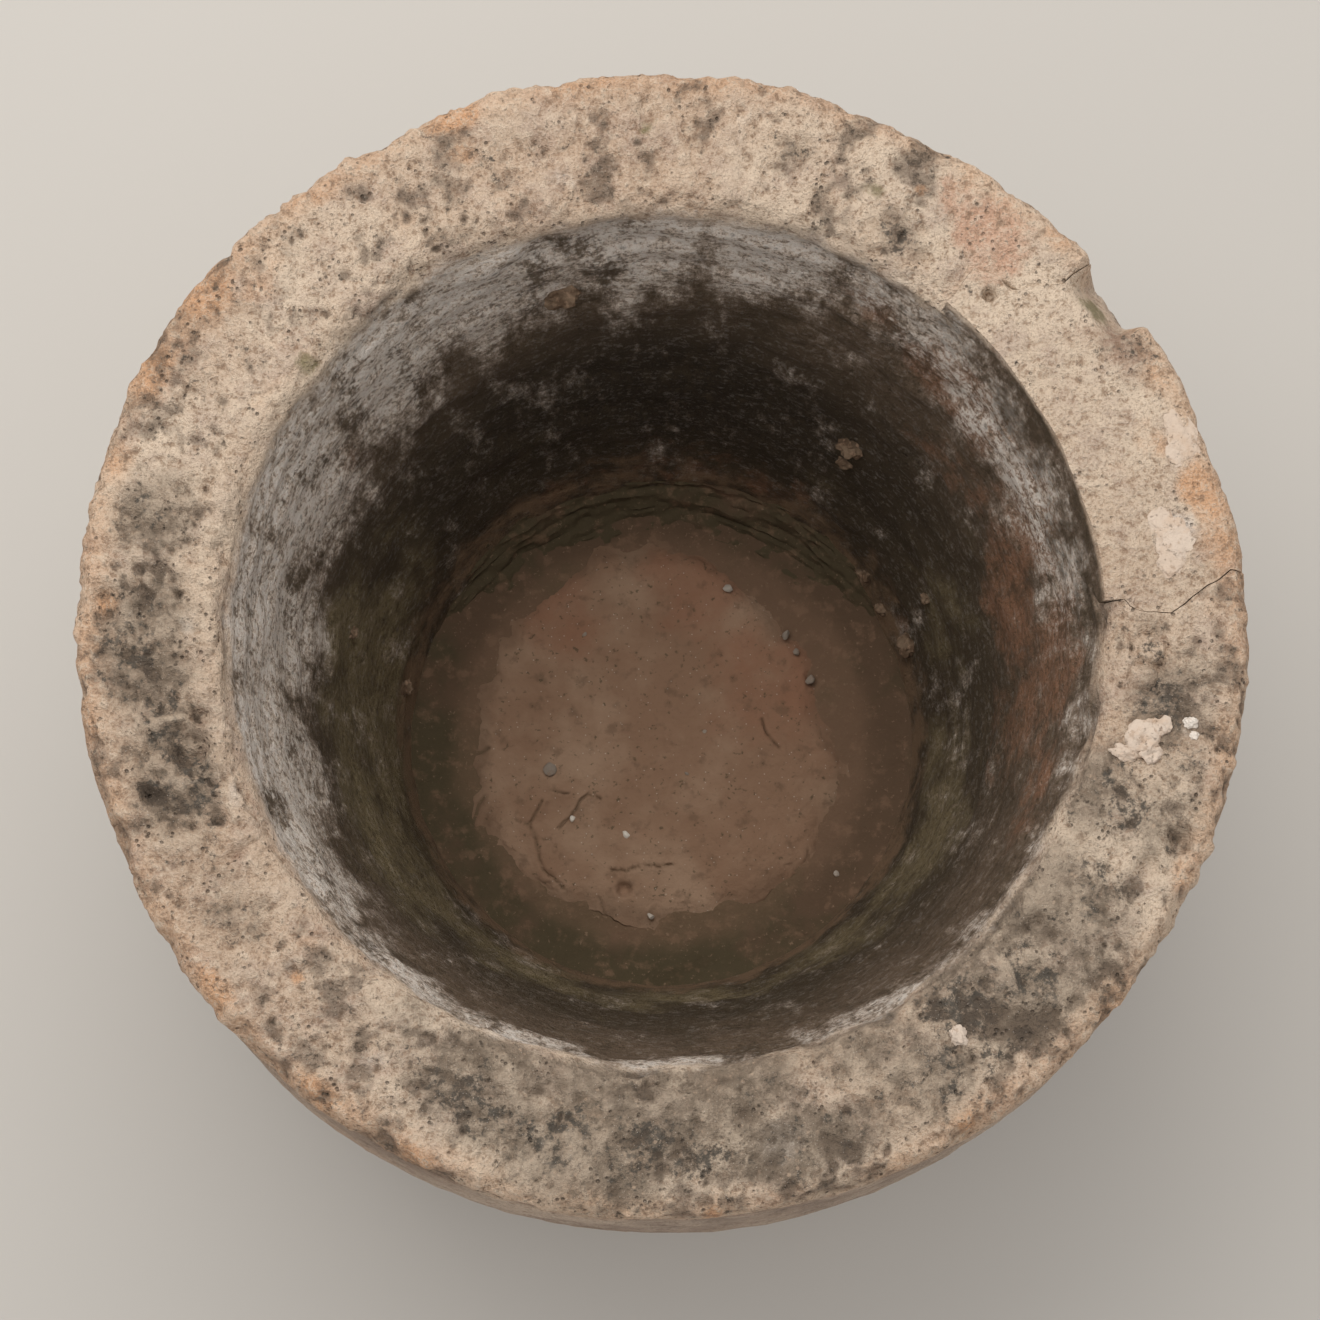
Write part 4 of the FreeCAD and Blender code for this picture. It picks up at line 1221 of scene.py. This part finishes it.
class PLANTER_OT_bank(Operator):
    """Packs the bank of mud against the foot of the far wall"""

    bl_idname = "planter.bank"
    bl_label = "Mud bank"

    def execute(self, context):
        bm = bmesh.new()
        start, end = BANK_ARC
        foot, head = BANK_LEVELS
        inset, shoulder = BANK_SHOULDER
        back = wall_reach(foot) + BANK_GRIP
        section = ((back, foot), (wall_reach(head) + BANK_GRIP, head), (back - inset, shoulder),
                   (back - BANK_RUN, foot), (back, foot))
        outline_wire(bm, section, BANK_ROWS)
        bmesh.ops.remove_doubles(bm, verts=bm.verts, dist=1e-6)
        spun(bm, BANK_STEPS, start, end)
        for vert, normal in with_normals(bm):
            angle, reach = polar(vert.co)
            share = ease(0, BANK_FADE, angle - start) * ease(0, BANK_FADE, end - angle)
            against = wall_reach(vert.co.z) + BANK_GRIP
            kept = against - (against - reach) * (0.12 + 0.88 * share)
            place = on_ring(angle, kept, foot + (vert.co.z - foot) * (0.35 + 0.65 * share))
            if reach < against - 0.0005 and vert.co.z > foot + 0.0005:
                terrace = noise.fractal(Vector((angle * 0.06, vert.co.z * 190 + reach * 120, 3)), 0.8, 2.0, 3)
                clods = noise.fractal(place * 60, 0.8, 2.1, 4)
                rise = (3.0 * terrace + 3.0 * clods) * MM * (0.3 + 0.7 * share)
                place += Vector((normal.x, normal.y, 0.7)) * rise
            vert.co = place
        piece = make_piece(bm, "mud_bank", "mud_collar")
        store(piece.data, "damp_and_shade", np.full(len(piece.data.vertices), 0.9))
        dress(piece, silt_finish("bank mud", context.scene.planter_soil))
        return {"FINISHED"}


def flint(bm, place, sizes, facing, seed):
    """Adds an angular stone: a ball cut flat by a few planes."""
    made = bmesh.ops.create_icosphere(bm, subdivisions=3, radius=1.0)["verts"]
    for number in range(9):
        way = noise.random_unit_vector()
        limit = 0.62 + 0.25 * abs(noise.noise(Vector((seed * 1.3, number * 0.7, 4.1))))
        for vert in made:
            over = vert.co.dot(way) - limit
            if over > 0:
                vert.co -= way * (over * 0.92)
    return settle(bm, made, sizes, facing, place)


class PLANTER_OT_chips(Operator):
    """Scatters the stone chips on the mud"""

    bl_idname = "planter.chips"
    bl_label = "Stone chips"

    def execute(self, context):
        noise.seed_set(NOISE_SEED)
        bm = bmesh.new()
        tints = []
        for seed, (x, y, radius, height, tint) in enumerate(CHIPS, start=1):
            place = Vector((x * MM, y * MM, MUD_LEVELS[0] + 0.35 * height * MM))
            sizes = (radius * MM, radius * 0.75 * MM, height * 0.75 * MM)
            tints += [tint] * len(flint(bm, place, sizes, seed * 47, seed))
        piece = make_piece(bm, "loose_chips", "stone_chips")
        store(piece.data, "tint", np.array(tints))
        settings = context.scene.planter_soil
        make = Finish("stone chip")
        colour = make.layered(
            make.mix(make.mask("tint"), settings.silt, settings.chip),
            (settings.mud, make.span(make.noise(300, 4), 0.5, 0.7), 0.6),
        )
        dress(piece, make.done(colour, make.noise(500, 3), depth=0.5 * MM), 28)
        return {"FINISHED"}


class PLANTER_OT_crumbs(Operator):
    """Sticks the crumbs to the hollow's wall"""

    bl_idname = "planter.crumbs"
    bl_label = "Wall crumbs"

    def execute(self, context):
        bm = bmesh.new()
        for seed, (angle, level, half_round, half_out) in enumerate(CRUMBS, start=1):
            place = on_ring(angle, wall_reach(level * MM) - 0.1 * half_out * MM, level * MM)
            sizes = (half_out * 0.8 * MM, half_round * MM, half_round * 0.7 * MM)
            blob(bm, place, sizes, angle, 0.6, seed, 3)
        piece = make_piece(bm, "stuck_crumbs", "wall_crumbs")
        settings = context.scene.planter_soil
        wall = context.scene.planter_stone.wall
        make = Finish("crumb")
        colour = make.layered(
            make.mix(make.span(make.noise(160, 4), 0.4, 0.6), settings.silt, wall),
            (settings.mud_pale, make.span(make.noise(400, 3), 0.50, 0.7), 0.6),
        )
        dress(piece, make.done(colour, make.noise(400, 4), depth=0.8 * MM), 35)
        return {"FINISHED"}


class PLANTER_OT_stage(Operator):
    """Sets the floor, the soft light and the camera"""

    bl_idname = "planter.stage"
    bl_label = "Stage"

    def execute(self, context):
        scene = context.scene
        settings = scene.planter_stage
        self.add_floor(settings)
        self.add_lamp(scene, settings)
        self.add_camera(scene, settings)
        self.add_sky(scene, settings)
        scene.view_settings.view_transform = "Standard"
        return {"FINISHED"}

    def add_floor(self, settings):
        bm = bmesh.new()
        bmesh.ops.create_grid(bm, x_segments=1, y_segments=1, size=FLOOR_HALF)
        floor = placed(bm, "floor")
        make = Finish("plain floor")
        make.shader.inputs["Base Color"].default_value = (*settings.floor, 1.0)
        make.shader.inputs["Roughness"].default_value = 0.85
        floor.data.materials.append(make.material)

    def add_lamp(self, scene, settings):
        lamp = bpy.data.lights.new("soft lamp", "AREA")
        lamp.shape = "SQUARE"
        lamp.size = settings.lamp_size
        lamp.energy = settings.lamp_power
        lamp.color = LAMP_COLOUR
        holder = bpy.data.objects.new("soft lamp", lamp)
        self.aim(holder, LAMP_PLACE, LAMP_TARGET)
        scene.collection.objects.link(holder)

    def add_camera(self, scene, settings):
        data = bpy.data.cameras.new("camera")
        data.sensor_width = SENSOR_WIDTH
        data.lens = settings.lens
        camera = bpy.data.objects.new("camera", data)
        self.aim(camera, CAMERA_PLACE, CAMERA_TARGET)
        scene.collection.objects.link(camera)
        scene.camera = camera

    def add_sky(self, scene, settings):
        world = bpy.data.worlds.new("studio")
        world.use_nodes = True
        background = world.node_tree.nodes["Background"]
        background.inputs["Color"].default_value = SKY_COLOUR
        background.inputs["Strength"].default_value = settings.sky
        scene.world = world

    def aim(self, item, place, target):
        item.location = place
        item.rotation_euler = (target - place).to_track_quat("-Z", "Y").to_euler()


class PLANTER_PT_panel(Panel):
    """Lists the planter's pieces and settings"""

    bl_label = "Stone planter"
    bl_idname = "PLANTER_PT_panel"
    bl_space_type = "VIEW_3D"
    bl_region_type = "UI"
    bl_category = "Planter"

    def draw(self, context):
        for step in STEPS:
            self.layout.operator(step.bl_idname)
        for group, kind in GROUPS.items():
            box = self.layout.box()
            for name in kind.__annotations__:
                box.prop(getattr(context.scene, group), name)


STEPS = (
    PLANTER_OT_stone, PLANTER_OT_fill, PLANTER_OT_splashes, PLANTER_OT_soil, PLANTER_OT_mud, PLANTER_OT_bank,
    PLANTER_OT_chips, PLANTER_OT_crumbs, PLANTER_OT_stage,
)
GROUPS = {"planter_stone": StoneSettings, "planter_soil": SoilSettings, "planter_stage": StageSettings}


def register():
    for kind in (*GROUPS.values(), *STEPS, PLANTER_PT_panel):
        bpy.utils.register_class(kind)
    for name, kind in GROUPS.items():
        setattr(bpy.types.Scene, name, PointerProperty(type=kind))


def unregister():
    for name in GROUPS:
        delattr(bpy.types.Scene, name)
    for kind in (PLANTER_PT_panel, *STEPS, *GROUPS.values()):
        bpy.utils.unregister_class(kind)


def main():
    register()
    for step in STEPS:
        getattr(bpy.ops.planter, step.bl_idname.split(".")[1])()
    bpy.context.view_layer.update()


if __name__ == "__main__":
    main()
